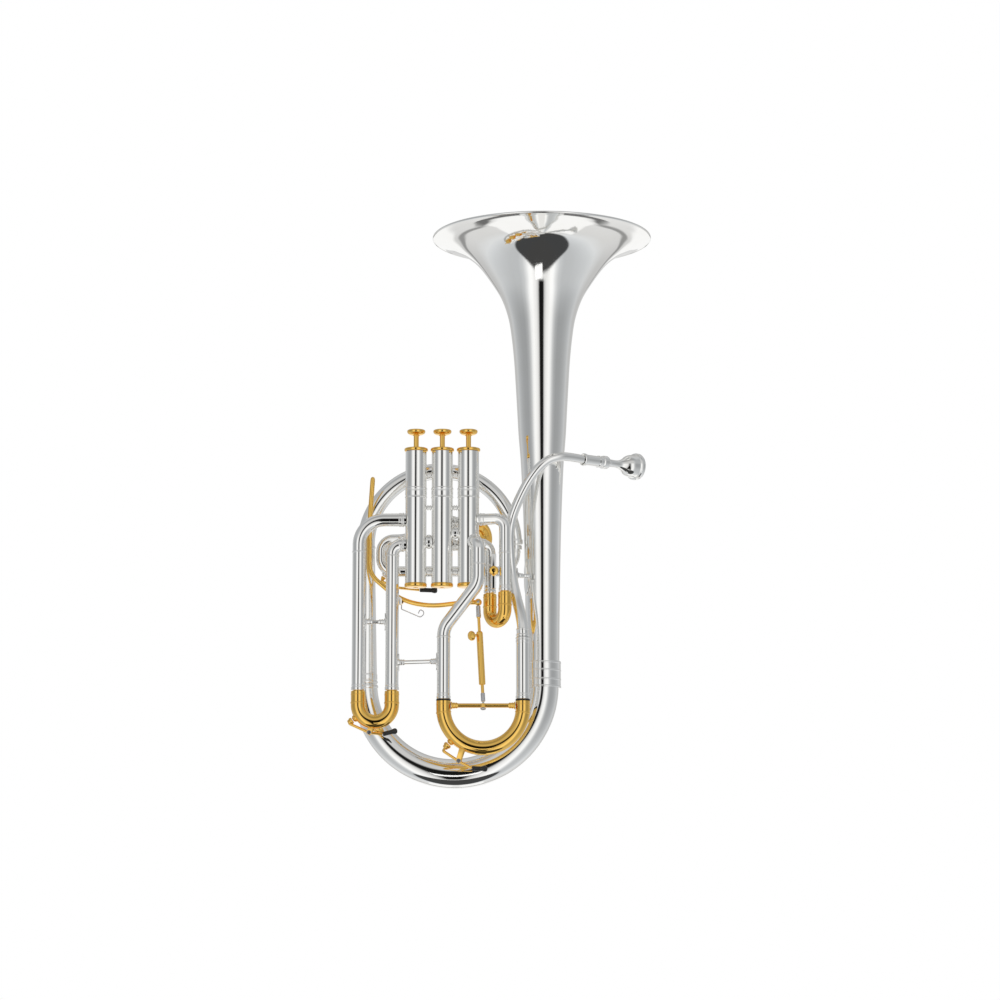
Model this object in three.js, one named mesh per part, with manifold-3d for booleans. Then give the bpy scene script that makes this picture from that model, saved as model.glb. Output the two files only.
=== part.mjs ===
// A tenor horn: three bottom-sprung piston valves, an upright bell and a trigger on the main tuning slide.
// Millimetres, +Z up. The origin is the middle of the second valve casing; +X runs towards the mouthpiece,
// -Y faces the player's right hand and +Y is the bell's side.
import * as THREE from "three";
import { mergeVertices } from "three/addons/utils/BufferGeometryUtils.js";
import Module from "manifold-3d";

const wasm = await Module();
wasm.setup();

// Driving dimensions.
const GAP = 0.3; // between pieces that are soldered, screwed or slid together
const WALL = 0.7; // tube wall
const BEND_STEP = Math.PI / 8; // a bend turns this much between two sections

const BACK = 26; // the bell, the bottom bow and the branch lie in this plane
const BELL = { x: 92, top: 268, bottom: -144, rim: 102.5, tail: 15.2, wall: 0.9 };
const BOW = { z: -152.5, inner: 14.6, middle: 13.7, outer: 11.4 };
const BRANCH = { x: -70.6, loopZ: -22.8, loopRadius: 68.6, start: 11, top: 8.2, end: 6.7 };
const EXIT = { y: 21.5, z: -48.4, radius: 5 };

const VALVE_PITCH = 24;
const CASING = { radius: 9.7, bore: 8.75, top: 59.6, bottom: -62.3 };
const CAP = { spigot: 8.25, flange: 10.9, skirt: 10.25, depth: 3 }; // depth: how far it sits in the casing
const PISTON = { radius: 8.25, top: 40, bottom: -30, port: 4.2, stem: 2.4 };
const BUTTON = { radius: 8.4, underside: 75, top: 80 };
const SPRING = { wire: 0.45, radius: 6.4, turns: 4 };

const SLEEVE = { radius: 6 }; // the fixed outer tube of a slide
const LEG = { radius: 4.6 }; // the inner tube that slides in it
const SLIDE_BOW = { radius: 6.6 };
const NARROW = { radius: 5.2, leg: 3.9 }; // the first and second slides' sleeves and legs
const FIRST_SLIDE = {
  front: [57.3, -8], back: [43.7, 8], sleeveEnd: -70.5, radius: 6.1, ring: -83, legTop: -40, bowZ: -86.7,
};
const THIRD_SLIDE = {
  left: -75.7, right: -45.2, sleeveEnd: -160.2, ring: -171.6, legTop: -60, bowZ: -173.6, braceZ: -97.7,
};
const MAIN_SLIDE = {
  left: 1.9, right: 73.5, y: -12, top: -113, sleeveEnd: -169.4, ring: -181.5, legTop: -122, bowZ: -177.8,
  braceZ: -175.2,
};
const SECOND_SLIDE = { upper: -4.1, lower: -25.5, legStart: 16, sleeveEnd: 36, bow: 46 }; // along its port
const SLEEVE_BRACE_Z = -135;

const MOUTH_AXIS = Math.PI * (38 / 180);
const RECEIVER = new THREE.Vector3(129, 8, 54);
const LEVER_Y = 11; // the trigger lever swings in this plane
const PIVOT = new THREE.Vector3(-38.5, LEVER_Y, -77);
const BRACKET_Y = 7.1;
const BALL = { x: 33, y: 0, z: -79.6, radius: 3.4 }; // the lever's end, over the link
const FOOT = new THREE.Vector3(37.7, MAIN_SLIDE.y, MAIN_SLIDE.braceZ); // the link's pivot on the brace
const LYRE = { x: 47.2, y: -5.2, z: -52 };

const finishes = {
  silver: { color: 0xeeeae4, roughness: 0.12, metalness: 1 },
  gold: { color: 0xf0b050, roughness: 0.15, metalness: 1 },
  steel: { color: 0xb0b0b0, roughness: 0.3, metalness: 1 },
  rubber: { color: 0x0c0c0c, roughness: 0.6, metalness: 0 },
};

const group = new THREE.Group();

function add(name, finish, geometry) {
  const mesh = new THREE.Mesh(geometry, new THREE.MeshStandardMaterial(finishes[finish]));
  mesh.name = name;
  group.add(mesh);
}

// Booleans: a closed geometry as a solid, and back.
function solid(geometry) {
  const bare = geometry.clone();
  bare.deleteAttribute("normal");
  bare.deleteAttribute("uv");
  const merged = mergeVertices(bare, 1e-3);
  const vertProperties = merged.attributes.position.array;
  const triVerts = new Uint32Array(merged.index.array);
  return new wasm.Manifold(new wasm.Mesh({ numProp: 3, vertProperties, triVerts }));
}

function geometryOf(body) {
  const mesh = body.getMesh();
  const geometry = new THREE.BufferGeometry();
  geometry.setAttribute("position", new THREE.BufferAttribute(new Float32Array(mesh.vertProperties), 3));
  geometry.setIndex(new THREE.BufferAttribute(mesh.triVerts, 1));
  return geometry;
}

const joined = (...geometries) => geometryOf(geometries.map(solid).reduce((all, next) => all.add(next)));
const cut = (geometry, ...tools) =>
  geometryOf(tools.map(solid).reduce((body, tool) => body.subtract(tool), solid(geometry)));

// A round bend of a route, swept about an axis from its first point.
class Arc extends THREE.Curve {
  constructor(centre, spoke, axis, angle) {
    super();
    Object.assign(this, { centre, spoke, axis, angle });
  }
  getPoint(t, target = new THREE.Vector3()) {
    return target.copy(this.spoke).applyAxisAngle(this.axis, this.angle * t).add(this.centre);
  }
}

// A route through corners [x, y, z, bend radius]: straight runs joined by round bends.
function route(...corners) {
  const path = new THREE.CurvePath();
  const points = corners.map(([x, y, z]) => new THREE.Vector3(x, y, z));
  let from = points[0];
  for (let i = 1; i < points.length - 1; i++) {
    const arriving = points[i].clone().sub(points[i - 1]).normalize();
    const leaving = points[i + 1].clone().sub(points[i]).normalize();
    const angle = arriving.angleTo(leaving);
    const radius = corners[i][3];
    const back = radius * Math.tan(angle / 2);
    const start = points[i].clone().addScaledVector(arriving, -back);
    const axis = arriving.clone().cross(leaving).normalize();
    const spoke = arriving.clone().cross(axis).multiplyScalar(radius);
    if (start.distanceTo(from) > 1e-6) path.add(new THREE.LineCurve3(from, start));
    path.add(new Arc(start.clone().sub(spoke), spoke, axis, angle));
    from = points[i].clone().addScaledVector(leaving, back);
  }
  path.add(new THREE.LineCurve3(from, points.at(-1)));
  return path;
}

// The distances along a path at which a tube needs a section.
function stations(path) {
  const found = [0];
  for (const curve of path.curves) {
    let steps = 1;
    if (curve instanceof Arc) steps = Math.max(2, Math.ceil(curve.angle / BEND_STEP - 1e-6));
    if (curve instanceof THREE.CatmullRomCurve3) steps = 12;
    const start = found.at(-1);
    for (let i = 1; i <= steps; i++) found.push(start + (curve.getLength() * i) / steps);
  }
  return found;
}

// The radius at a distance, on an outline of [distance, radius] points.
function radiusAt(outline, distance) {
  const next = outline.findIndex(([at]) => at >= distance);
  if (next < 0) return outline.at(-1)[1];
  if (next === 0) return outline[0][1];
  const [[a, ra], [b, rb]] = [outline[next - 1], outline[next]];
  return b === a ? rb : ra + ((rb - ra) * (distance - a)) / (b - a);
}

// An outline with a point at each station, and its raised rings [distance, width, height].
function sections(outline, sites, rings = []) {
  const taken = ([at]) => rings.some(([site, width]) => Math.abs(at - site) < width / 2 + 0.05);
  const plain = sites.filter((at) => outline.every(([known]) => Math.abs(known - at) > 0.05));
  const known = [...outline, ...plain.map((at) => [at, radiusAt(outline, at)])];
  const points = known.filter((point) => !taken(point));
  for (const [site, width, height] of rings) {
    const radius = radiusAt(outline, site);
    points.push([site - width / 2, radius], [site - width / 2 + 0.01, radius + height]);
    points.push([site + width / 2 - 0.01, radius + height], [site + width / 2, radius]);
  }
  return points.sort((p, q) => p[0] - q[0]);
}

// A turned shape, its axis bent to follow the path.
function bent(path, turned) {
  const position = turned.attributes.position;
  const length = path.getLength();
  const distances = Array.from({ length: position.count }, (_, i) => position.getY(i));
  const frames = new Map();
  let before = path.getTangent(0);
  const normal = new THREE.Vector3(0.31, -0.9, 0.27).cross(before).normalize();
  for (const distance of [...new Set(distances)].sort((p, q) => p - q)) {
    const along = path.getTangent(distance / length);
    normal.applyQuaternion(new THREE.Quaternion().setFromUnitVectors(before, along));
    before = along;
    const centre = path.getPoint(Math.min(distance / length, 1));
    frames.set(distance, [normal.clone(), along, normal.clone().cross(along), centre]);
  }
  distances.forEach((distance, i) => {
    const [across, , side, centre] = frames.get(distance);
    const point = centre.clone().addScaledVector(across, position.getX(i));
    point.addScaledVector(side, position.getZ(i));
    position.setXYZ(i, point.x, point.y, point.z);
  });
  return turned;
}

// A hollow tube along a path. Its outline is one radius, or [distance, radius] points from end to end.
function pipe(path, { radius, bore, rings, sides = 8 }) {
  const length = path.getLength();
  const outline = Array.isArray(radius) ? radius : [[0, radius], [length, radius]];
  const hollow = bore ?? outline.map(([at, r]) => [at, r - WALL]);
  const inside = Array.isArray(hollow) ? hollow : [[0, hollow], [length, hollow]];
  const sites = stations(path);
  const wall = [...sections(outline, sites, rings), ...sections(inside, sites).reverse()];
  const profile = [...wall, wall[0]].map(([at, r]) => new THREE.Vector2(r, at));
  return bent(path, new THREE.LatheGeometry(profile, sides));
}

// A solid rod along a path, its outline as [distance, radius] points.
function rod(path, outline, sides = 8) {
  const length = path.getLength();
  const wall = [[0, 0], ...sections(outline, stations(path)), [length, 0]];
  const profile = wall.map(([at, r]) => new THREE.Vector2(r, at));
  return bent(path, new THREE.LatheGeometry(profile, sides));
}

// A turned ring or cap on a vertical axis: a closed outline of [radius, z] points, anticlockwise.
function turned(outline, [x, y], sides = 10) {
  const profile = [...outline, outline[0]].map(([r, z]) => new THREE.Vector2(r, z));
  return new THREE.LatheGeometry(profile, sides).rotateX(Math.PI / 2).translate(x, y, 0);
}

// A solid turned shape on a vertical axis: an outline of [radius, z] points from its underside to its top.
function turnedSolid(outline, x, sides = 12) {
  const profile = outline.map(([r, z]) => new THREE.Vector2(r, z));
  return new THREE.LatheGeometry(profile, sides).rotateX(Math.PI / 2).translate(x, 0, 0);
}

// A plain pin between two points.
function pin(from, to, radius, sides = 8) {
  const path = route(from, to);
  return rod(path, [[0, radius], [path.getLength(), radius]], sides);
}

const valveX = { 1: VALVE_PITCH, 2: 0, 3: -VALVE_PITCH };
const degrees = (angle) => (angle * Math.PI) / 180;

// Where tubes enter each casing: direction from its axis, height and radius.
const ports = {
  1: [[-13.5, -3.7, 5.2], [22, -25.6, 5.2], [-60.6, -24.7, 6], [180, -15.6, 4.6]],
  2: [[0, -15.6, 4.6], [180, -24, 5.6], [45, -4.1, 5.2], [45, -25.5, 5.2]],
  3: [[0, -24, 5.6], [180, -3.7, 6], [180, -26.8, 6], [125, -19, 5]],
};

// The point at a distance from a valve's axis, in a port's direction.
function portPoint(valve, [angle, z], distance) {
  return [valveX[valve] + distance * Math.cos(degrees(angle)), distance * Math.sin(degrees(angle)), z];
}

// The room that a valve's casing takes out of the tubes that meet it.
function casingRoom(valve) {
  const radius = CASING.radius + GAP;
  const room = new THREE.CylinderGeometry(radius, radius, 150, 32);
  return room.rotateX(Math.PI / 2).translate(valveX[valve], 0, 0);
}

function bell() {
  const flare = [
    [BELL.tail, BELL.bottom], [17.1, -14.5], [22.2, 75.5], [24.6, 128.6], [28.2, 172.3], [31.2, 190.6],
    [37.1, 208.4], [45.8, 223.5], [58.9, 241.5], [71, 252.5], [84, 260], [99, 265.3],
  ];
  const { rim, top } = BELL;
  const lip = [[rim, top - 2.4], [rim + 0.3, top - 1.1], [rim - 0.6, top], [rim - 3.4, top]];
  const inside = flare.slice(0, -1).map(([r, z]) => [r - BELL.wall, z + (z > 200 ? BELL.wall : 0)]).reverse();
  return turned([...flare, ...lip, ...inside], [BELL.x, BACK], 20);
}

function bellFerrule() {
  const outline = [
    [15.9, -155.6], [17.2, -155.6], [17.2, -153.4], [16.5, -152.9], [16.5, -133.4], [17.1, -132.9],
    [17.1, -131], [15.9, -131],
  ];
  return turned(outline, [BELL.x, BACK], 20);
}

function bottomBow() {
  const reach = (BELL.x - BRANCH.x) / 2;
  const low = BOW.z - reach;
  const path = route(
    [BELL.x, BACK, BELL.bottom - 0.6], [BELL.x, BACK, low, reach], [BRANCH.x, BACK, low, reach],
    [BRANCH.x, BACK, BOW.z],
  );
  const length = path.getLength();
  const { inner, middle, outer } = BOW;
  const radius = [[0, inner], [length * 0.1, inner], [length * 0.5, middle], [length, outer]];
  return pipe(path, { radius, sides: 12, rings: [[length - 2, 3, 0.6]] });
}

function branchPipe() {
  const { x, loopZ, loopRadius, start, top, end } = BRANCH;
  const far = x + 2 * loopRadius;
  const peak = loopZ + loopRadius;
  const path = route(
    [x, BACK, BOW.z + GAP], [x, BACK, peak, loopRadius], [far, BACK, peak, loopRadius], [far, BACK, loopZ],
  );
  const length = path.getLength();
  const outline = [[0, start], [loopZ - BOW.z, top], [length, end]];
  return pipe(path, { radius: outline, sides: 10, rings: [[3, 3, 0.8], [length - 2, 3, 0.7]] });
}

function exitPipe() {
  const far = BRANCH.x + 2 * BRANCH.loopRadius;
  const port = ports[3][3];
  const path = route(
    portPoint(3, port, 6), [...portPoint(3, port, 22.5), 8], [-56, EXIT.y, port[1], 11],
    [-56, EXIT.y, EXIT.z, 12], [30, EXIT.y, EXIT.z, 40], [far, BACK, EXIT.z, 18],
    [far, BACK, BRANCH.loopZ - GAP],
  );
  const length = path.getLength();
  const tube = pipe(path, { radius: EXIT.radius, rings: [[length - 2, 3, 1.5]] });
  return cut(withKeySeat(tube, KEYS.back), casingRoom(3));
}

// The leadpipe crosses in front of the bell, then runs down behind the first slide to the tuning slide.
function leadpipe() {
  const along = new THREE.Vector3(Math.cos(MOUTH_AXIS), Math.sin(MOUTH_AXIS), 0);
  const mouthEnd = RECEIVER.clone().addScaledVector(along, -GAP - 0.1);
  const corner = new THREE.Vector3(118, -0.6, 54.8);
  const crossing = new THREE.Vector3(108, -6, 54);
  const swing = new THREE.QuadraticBezierCurve3(mouthEnd, corner, crossing).getPoints(3);
  const descent = [
    [98, -8.4, 50.9], [88, -8.8, 43], [78, -6.6, 29.5], [69, -2.8, 12], [63.9, 1, -1.5], [61.7, 4.2, -15.5],
    [62, 5, -33.5], [64, 4.2, -56.5], [67.6, 0, -75], [71.4, -7, -91], [73.4, -11.6, -104],
    [MAIN_SLIDE.right, MAIN_SLIDE.y, MAIN_SLIDE.top + 0.8],
  ].map((point) => new THREE.Vector3(...point));
  const path = new THREE.CurvePath();
  path.add(new THREE.CatmullRomCurve3([...swing, ...descent], false, "centripetal"));
  const length = path.getLength();
  const radius = [[0, 4], [length * 0.3, 4.2], [length * 0.7, 4.9], [length, 5.2]];
  return pipe(path, { radius, rings: [[length - 2, 3, 0.7]] });
}

// A turned shape on the mouthpiece's axis, z measured from the leadpipe's end.
const onMouthAxis = (geometry) =>
  geometry.rotateY(Math.PI / 2).rotateZ(MOUTH_AXIS).translate(RECEIVER.x, RECEIVER.y, RECEIVER.z);

function mouthpieceReceiver() {
  const outline = [
    [3.6, 0], [5.1, 0], [5.8, 0.8], [5.8, 2.6], [5, 3.4], [5, 22.5], [6.2, 23.4], [6.2, 28.2], [5.4, 29],
    [4.7, 29], [3.6, 6],
  ];
  return onMouthAxis(turned(outline, [0, 0], 10));
}

function mouthpiece() {
  const outline = [
    [2, 8], [3.1, 8], [4.3, 30], [3.5, 38], [4, 43], [6.2, 49], [9.6, 53], [11.2, 61.5], [12.6, 62.5],
    [12.6, 65.6], [11, 66.6], [9.2, 66.2], [8.4, 60], [5.6, 52], [1.9, 46],
  ];
  return onMouthAxis(turned(outline, [0, 0], 12));
}

// The brace from the leadpipe to the bell.
function bellBrace() {
  const path = route([68.6, 6.4, -54], [80.4, 12.1, -54]);
  const length = path.getLength();
  const thick = 2.6;
  const thin = 1.7;
  const end = [[0, thick], [1.2, thick], [2.4, thin]];
  const mirrored = end.map(([at, r]) => [length - at, r]).reverse();
  return rod(path, [...end, ...mirrored]);
}

function valveCasing(valve) {
  const { radius, bore, top, bottom } = CASING;
  const band = radius + 0.5;
  const outline = [
    [bore, bottom], [radius, bottom], [radius, 16.6], [band, 16.9], [band, 25.3], [radius, 25.6],
    [radius, top], [bore, top],
  ];
  const hole = (port) => pin(portPoint(valve, port, 5), portPoint(valve, port, 12), port[2] - WALL);
  const holes = ports[valve].map(hole);
  return cut(turned(outline, [valveX[valve], 0], 14), ...holes);
}

function topCap(x) {
  const { spigot, flange, depth } = CAP;
  const seat = CASING.top + GAP;
  const top = seat + 3.1;
  const outline = [
    [3, seat - depth], [spigot, seat - depth], [spigot, seat], [flange - 0.4, seat], [flange, seat + 0.5],
    [flange, top - 0.5], [flange - 0.7, top], [3, top],
  ];
  return turned(outline, [x, 0]);
}

function bottomCap(x) {
  const { spigot, skirt, depth } = CAP;
  const seat = CASING.bottom - GAP;
  const low = seat - 3.6;
  const outline = [
    [1.6, low], [skirt - 0.8, low], [skirt, low + 0.8], [skirt, seat], [spigot, seat],
    [spigot, seat + depth], [1.6, seat + depth],
  ];
  return turned(outline, [x, 0]);
}

// A piston with its stem: two ports cross it, and the stem rises through the top cap to the button.
function piston(valve) {
  const x = valveX[valve];
  const { radius, top, bottom, port, stem } = PISTON;
  const tip = BUTTON.underside - GAP;
  const outline = [
    [0, bottom], [radius, bottom], [radius, top], [5, top], [stem, top + 2], [stem, tip], [0, tip],
  ];
  const body = turnedSolid(outline, x);
  const upper = pin([x - 12, 2, 0], [x + 12, -2, -8], port);
  const lower = pin([x - 12, 0, -22], [x + 12, 0, -17], port);
  return cut(body, upper, lower);
}

function fingerButton(x) {
  const { radius, underside, top } = BUTTON;
  return turnedSolid(
    [
      [0, underside], [3.4, underside], [radius - 1.6, underside + 1.1], [radius - 0.3, underside + 2.2],
      [radius, underside + 3.1], [radius, top - 0.8], [radius - 1, top], [radius - 2.4, top - 0.4],
      [0, top - 0.4],
    ],
    x,
  );
}

// The spring between the piston and the bottom cap, coiled about the valve's axis.
class Helix extends THREE.Curve {
  constructor(radius, turns, height) {
    super();
    Object.assign(this, { radius, turns, height });
  }
  getPoint(t, target = new THREE.Vector3()) {
    const angle = t * this.turns * 2 * Math.PI;
    return target.set(this.radius * Math.cos(angle), this.radius * Math.sin(angle), t * this.height);
  }
}

function valveSpring(x) {
  const { wire, radius, turns } = SPRING;
  const low = CASING.bottom + CAP.depth + wire + GAP;
  const high = PISTON.bottom - wire - GAP;
  const section = new THREE.Shape().absarc(0, 0, wire, 0, 2 * Math.PI);
  const extrudePath = new Helix(radius, turns, high - low);
  const coil = new THREE.ExtrudeGeometry(section, { extrudePath, steps: turns * 6, curveSegments: 2 });
  return coil.translate(x, 0, low);
}

function knuckle(left, right, port) {
  const path = route([valveX[left] + 5, 0, port[1]], [valveX[right] - 5, 0, port[1]]);
  const tube = pipe(path, { radius: port[2] });
  return cut(tube, casingRoom(left), casingRoom(right));
}

// A slide's fixed sleeve: a bent tube from a casing's port down to the sleeve's open end.
function sleeve(valve, port, [x, y], bend, end, radius, ring) {
  const path = route(portPoint(valve, port, 6), [x, y, port[1], bend], [x, y, end]);
  const length = path.getLength();
  const rings = [[length - 1.5, 2.4, 0.5], [length - (ring - end), 2, 0.5]];
  return cut(pipe(path, { radius, bore: radius - WALL, rings }), casingRoom(valve));
}

// A slide's outline: thin legs that run in its sleeves, and the thicker bow between its two shoulders.
function slideOutline(length, shoulder, thin, thick) {
  const step = 0.01;
  return [
    [0, thin], [shoulder, thin], [shoulder + step, thick],
    [length - shoulder - step, thick], [length - shoulder, thin], [length, thin],
  ];
}

// A slide: two legs that fill the sleeves and the bow that joins them, turning back through 180 degrees.
function slide({ from, to, sleeveEnd, legTop, bowZ, bow, leg, ring }) {
  const across = Math.hypot(to[0] - from[0], to[1] - from[1]) / 2;
  const low = bowZ - across;
  const path = route([...from, legTop], [...from, low, across], [...to, low, across], [...to, legTop]);
  const length = path.getLength();
  const shoulder = legTop - sleeveEnd + GAP;
  return pipe(path, {
    radius: slideOutline(length, shoulder, leg, bow),
    bore: slideOutline(length, shoulder + 1, leg - 0.6, bow - 0.8),
    rings: [[legTop - ring, 1.8, 0.5], [length - (legTop - ring), 1.8, 0.5]],
  });
}

function firstSlide() {
  const { front, back, radius, ...rest } = FIRST_SLIDE;
  return slide({ ...rest, from: front, to: back, bow: radius, leg: NARROW.leg });
}

function thirdSlide() {
  const { left, right, ...rest } = THIRD_SLIDE;
  const tube = slide({ ...rest, from: [left, 0], to: [right, 0], bow: SLIDE_BOW.radius, leg: LEG.radius });
  return withKeySeat(tube, KEYS.third);
}

function mainSlide() {
  const { left, right, y, ...rest } = MAIN_SLIDE;
  const tube = slide({ ...rest, from: [left, y], to: [right, y], bow: SLIDE_BOW.radius, leg: LEG.radius });
  return withKeySeat(tube, KEYS.main);
}

// A water key: the cup closes a nipple on a bow, and the lever turns on a saddle soldered beside it.
// Its points lie in one plane of constant y, as [x, z]; cup and saddle are angles about the bow's centre.
const KEYS = {
  third: {
    y: 0, centre: [-60.45, THIRD_SLIDE.bowZ], bow: 15.25, tube: SLIDE_BOW.radius, cup: 214, saddle: 262,
    elbow: [-84.7, -189.9], pivot: [-65.5, -198.6], wrist: [-53.4, -200], tip: [-40, -196.6],
  },
  main: {
    y: MAIN_SLIDE.y, centre: [37.7, MAIN_SLIDE.bowZ], bow: 35.8, tube: SLIDE_BOW.radius,
    cup: 226, saddle: 243,
    elbow: [1.6, -216.2], pivot: [15.6, -225.4], wrist: [27.4, -231.8], tip: [41.7, -232.4],
  },
  back: {
    y: EXIT.y, centre: [-44, EXIT.z + 12], bow: 12, tube: EXIT.radius, cup: 240, saddle: 272,
    elbow: [-56, -57.2], pivot: [-43.5, -63], wrist: [-21, -65.2], tip: [-4.6, -65.8],
  },
};
const KEY_BORE = 2.1; // the room that a lever needs in its saddle
const KEY_BAR = 1.6;

const inPlane = ({ y }, [x, z]) => [x, y, z];

// A point off a key's bow, at an angle about its centre and a distance beyond its outer face.
function beyondBow(key, angle, distance) {
  const radius = key.bow + key.tube + distance;
  const [x, z] = key.centre;
  return [x + radius * Math.cos(degrees(angle)), key.y, z + radius * Math.sin(degrees(angle))];
}

function withKeySeat(tube, key) {
  const nipple = pin(beyondBow(key, key.cup, -0.8), beyondBow(key, key.cup, 2.2), 2.2);
  const pivot = inPlane(key, key.pivot);
  const saddle = pin(beyondBow(key, key.saddle, -0.8), pivot, 2.4);
  const room = new THREE.CylinderGeometry(2.6, 2.6, 12, 12).translate(...pivot);
  const cupSide = pin(inPlane(key, key.elbow), pivot, KEY_BORE);
  const gripSide = pin(pivot, inPlane(key, key.wrist), KEY_BORE);
  return cut(joined(tube, nipple, saddle), room, cupSide, gripSide);
}

// A water key's cup, and its lever from the cup over the pivot to the grip.
function keyLever(key) {
  const pivot = inPlane(key, key.pivot);
  const cup = pin(beyondBow(key, key.cup, 2.6), beyondBow(key, key.cup, 5.6), 3.2, 10);
  const elbow = inPlane(key, key.elbow);
  const path = route(beyondBow(key, key.cup, 4.4), [...elbow, 1.2], [...pivot, 6], inPlane(key, key.wrist));
  const bar = rod(path, [[0, KEY_BAR], [path.getLength(), 1.3]]);
  const boss = new THREE.CylinderGeometry(2.2, 2.2, 4.4, 10).translate(...pivot);
  return joined(cup, bar, boss);
}

function keyGrip(key) {
  const wrist = new THREE.Vector3(...inPlane(key, key.wrist));
  const tip = new THREE.Vector3(...inPlane(key, key.tip));
  const start = wrist.clone().addScaledVector(tip.clone().sub(wrist).normalize(), 2 * GAP);
  const path = route(start.toArray(), tip.toArray());
  const length = path.getLength();
  return rod(path, [[0, 2.1], [length - 5, 2.1], [length - 2.5, 2.6], [length - 0.8, 2.1]], 10);
}

// The tube from the main slide's left leg up to the first valve.
function mainSleeveLeft() {
  const { left, y, sleeveEnd, top } = MAIN_SLIDE;
  const port = ports[1][2];
  const elbow = portPoint(1, port, 18.94);
  const path = route(
    portPoint(1, port, 6), [...elbow, 8.8], [elbow[0], elbow[1], -64, 20], [left, y, top + 8, 20],
    [left, y, sleeveEnd],
  );
  const length = path.getLength();
  const rings = [28, length - (top - sleeveEnd), length - 1.5].map((at) => [at, 2.4, 0.5]);
  return cut(pipe(path, { radius: SLEEVE.radius, rings }), casingRoom(1));
}

function mainSleeveRight() {
  const { right, y, sleeveEnd, top } = MAIN_SLIDE;
  const path = route([right, y, top], [right, y, sleeveEnd]);
  return pipe(path, { radius: SLEEVE.radius, rings: [[1.5, 2.4, 0.6], [path.getLength() - 1.5, 2.4, 0.5]] });
}

// A rod with beaded ends between two tubes.
function beadedBrace(from, to, radius, bead) {
  const path = route(from, to);
  const length = path.getLength();
  const end = [
    [0, bead + 0.9], [1, bead + 0.9], [1.6, bead], [3.2, bead], [3.8, radius + 0.5], [4.6, bead],
    [6.2, bead], [7, radius],
  ];
  const mirrored = end.map(([at, r]) => [length - at, r]).reverse();
  return rod(path, [...end, ...mirrored]);
}

function mainSlideBrace() {
  const { left, right } = MAIN_SLIDE;
  const reach = SLIDE_BOW.radius + GAP;
  const bar = beadedBrace([left + reach, FOOT.y, FOOT.z], [right - reach, FOOT.y, FOOT.z], 1.7, 2.6);
  const eye = pin([FOOT.x, FOOT.y, FOOT.z - 1.8], [FOOT.x, FOOT.y, FOOT.z + 1.8], 3, 12);
  const hole = pin([FOOT.x, FOOT.y, FOOT.z - 4], [FOOT.x, FOOT.y, FOOT.z + 4], 1.5, 10);
  return cut(joined(bar, eye), hole);
}

function thirdSlideBrace() {
  const { left, right, braceZ } = THIRD_SLIDE;
  const reach = SLEEVE.radius + GAP;
  return beadedBrace([left + reach, 0, braceZ], [right - reach, 0, braceZ], 1.6, 2.3);
}

function sleeveBrace() {
  const from = new THREE.Vector3(THIRD_SLIDE.right, 0, SLEEVE_BRACE_Z);
  const to = new THREE.Vector3(MAIN_SLIDE.left, MAIN_SLIDE.y, SLEEVE_BRACE_Z);
  const along = to.clone().sub(from).normalize().multiplyScalar(SLEEVE.radius + GAP + 0.2);
  return beadedBrace(from.add(along).toArray(), to.sub(along).toArray(), 1.7, 2.6);
}

function triggerLever() {
  const path = route(
    [-64, LEVER_Y, 38], [-66.6, LEVER_Y, -2, 200], [-66.8, LEVER_Y, -52, 22], [-38.5, LEVER_Y, -76.5, 60],
    [-10, 7.5, -82.5, 80], [20, 1.5, -79.5, 60], [BALL.x, BALL.y, BALL.z],
  );
  const length = path.getLength();
  const bar = rod(path, [[0, 1.7], [2, 2.2], [length, 2.2]]);
  const boss = new THREE.CylinderGeometry(3.6, 3.6, 4.6, 12).translate(PIVOT.x, PIVOT.y, PIVOT.z);
  const ball = new THREE.SphereGeometry(BALL.radius, 12, 8).translate(BALL.x, BALL.y, BALL.z);
  const hole = new THREE.CylinderGeometry(1.6, 1.6, 12, 12).translate(PIVOT.x, PIVOT.y, PIVOT.z);
  return cut(joined(bar, boss, ball), hole);
}

function triggerBracket() {
  const plate = new THREE.BoxGeometry(7, 2, 7).translate(PIVOT.x - 1.5, BRACKET_Y, PIVOT.z);
  const arm = new THREE.BoxGeometry(4, 6, 7).translate(PIVOT.x - 2.5, 4.6, PIVOT.z);
  const ends = [PIVOT.z - 20, PIVOT.z + 20].map((z) => [THIRD_SLIDE.right, 0, z]);
  const tube = pin(...ends, SLEEVE.radius + GAP, 24);
  const hole = new THREE.CylinderGeometry(1.55, 1.55, 12, 12).translate(PIVOT.x, PIVOT.y, PIVOT.z);
  return cut(joined(plate, arm), tube, hole);
}

function pivotScrew() {
  const shank = pin([PIVOT.x, 6.6, PIVOT.z], [PIVOT.x, 14, PIVOT.z], 1.25, 12);
  const head = pin([PIVOT.x, 13.7, PIVOT.z], [PIVOT.x, 15.4, PIVOT.z], 2.8, 12);
  return joined(shank, head);
}

function triggerSpring() {
  const wire = 0.6;
  const path = route(
    [-37, BRACKET_Y, -81], [-37, 6.6, -85, 0.9], [-19.5, 3.6, -93, 2.4], [-14.9, 3.6, -88.5, 2.6],
    [-20, 3.6, -85.6, 1.4], [-21.5, 3.6, -89.5],
  );
  return rod(path, [[0, wire], [path.getLength(), wire]], 6);
}

// The link between the lever's ball and the main slide's brace: a threaded rod through a barrel.
function linkRod() {
  const path = route([BALL.x, BALL.y, BALL.z - BALL.radius - 1.4], [FOOT.x, FOOT.y, FOOT.z + 3.8]);
  const length = path.getLength();
  const [barrelTop, barrelEnd] = [length * 0.27, length * 0.82];
  const step = 0.01;
  return rod(
    path,
    [
      [0, 1.9], [9, 1.9], [9.4, 1.4], [barrelTop, 1.4], [barrelTop + step, 3], [barrelEnd, 3],
      [barrelEnd + step, 1.5], [length - 7, 1.5], [length - 6.8, 1.8], [length, 1.8],
    ],
    10,
  );
}

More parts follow.
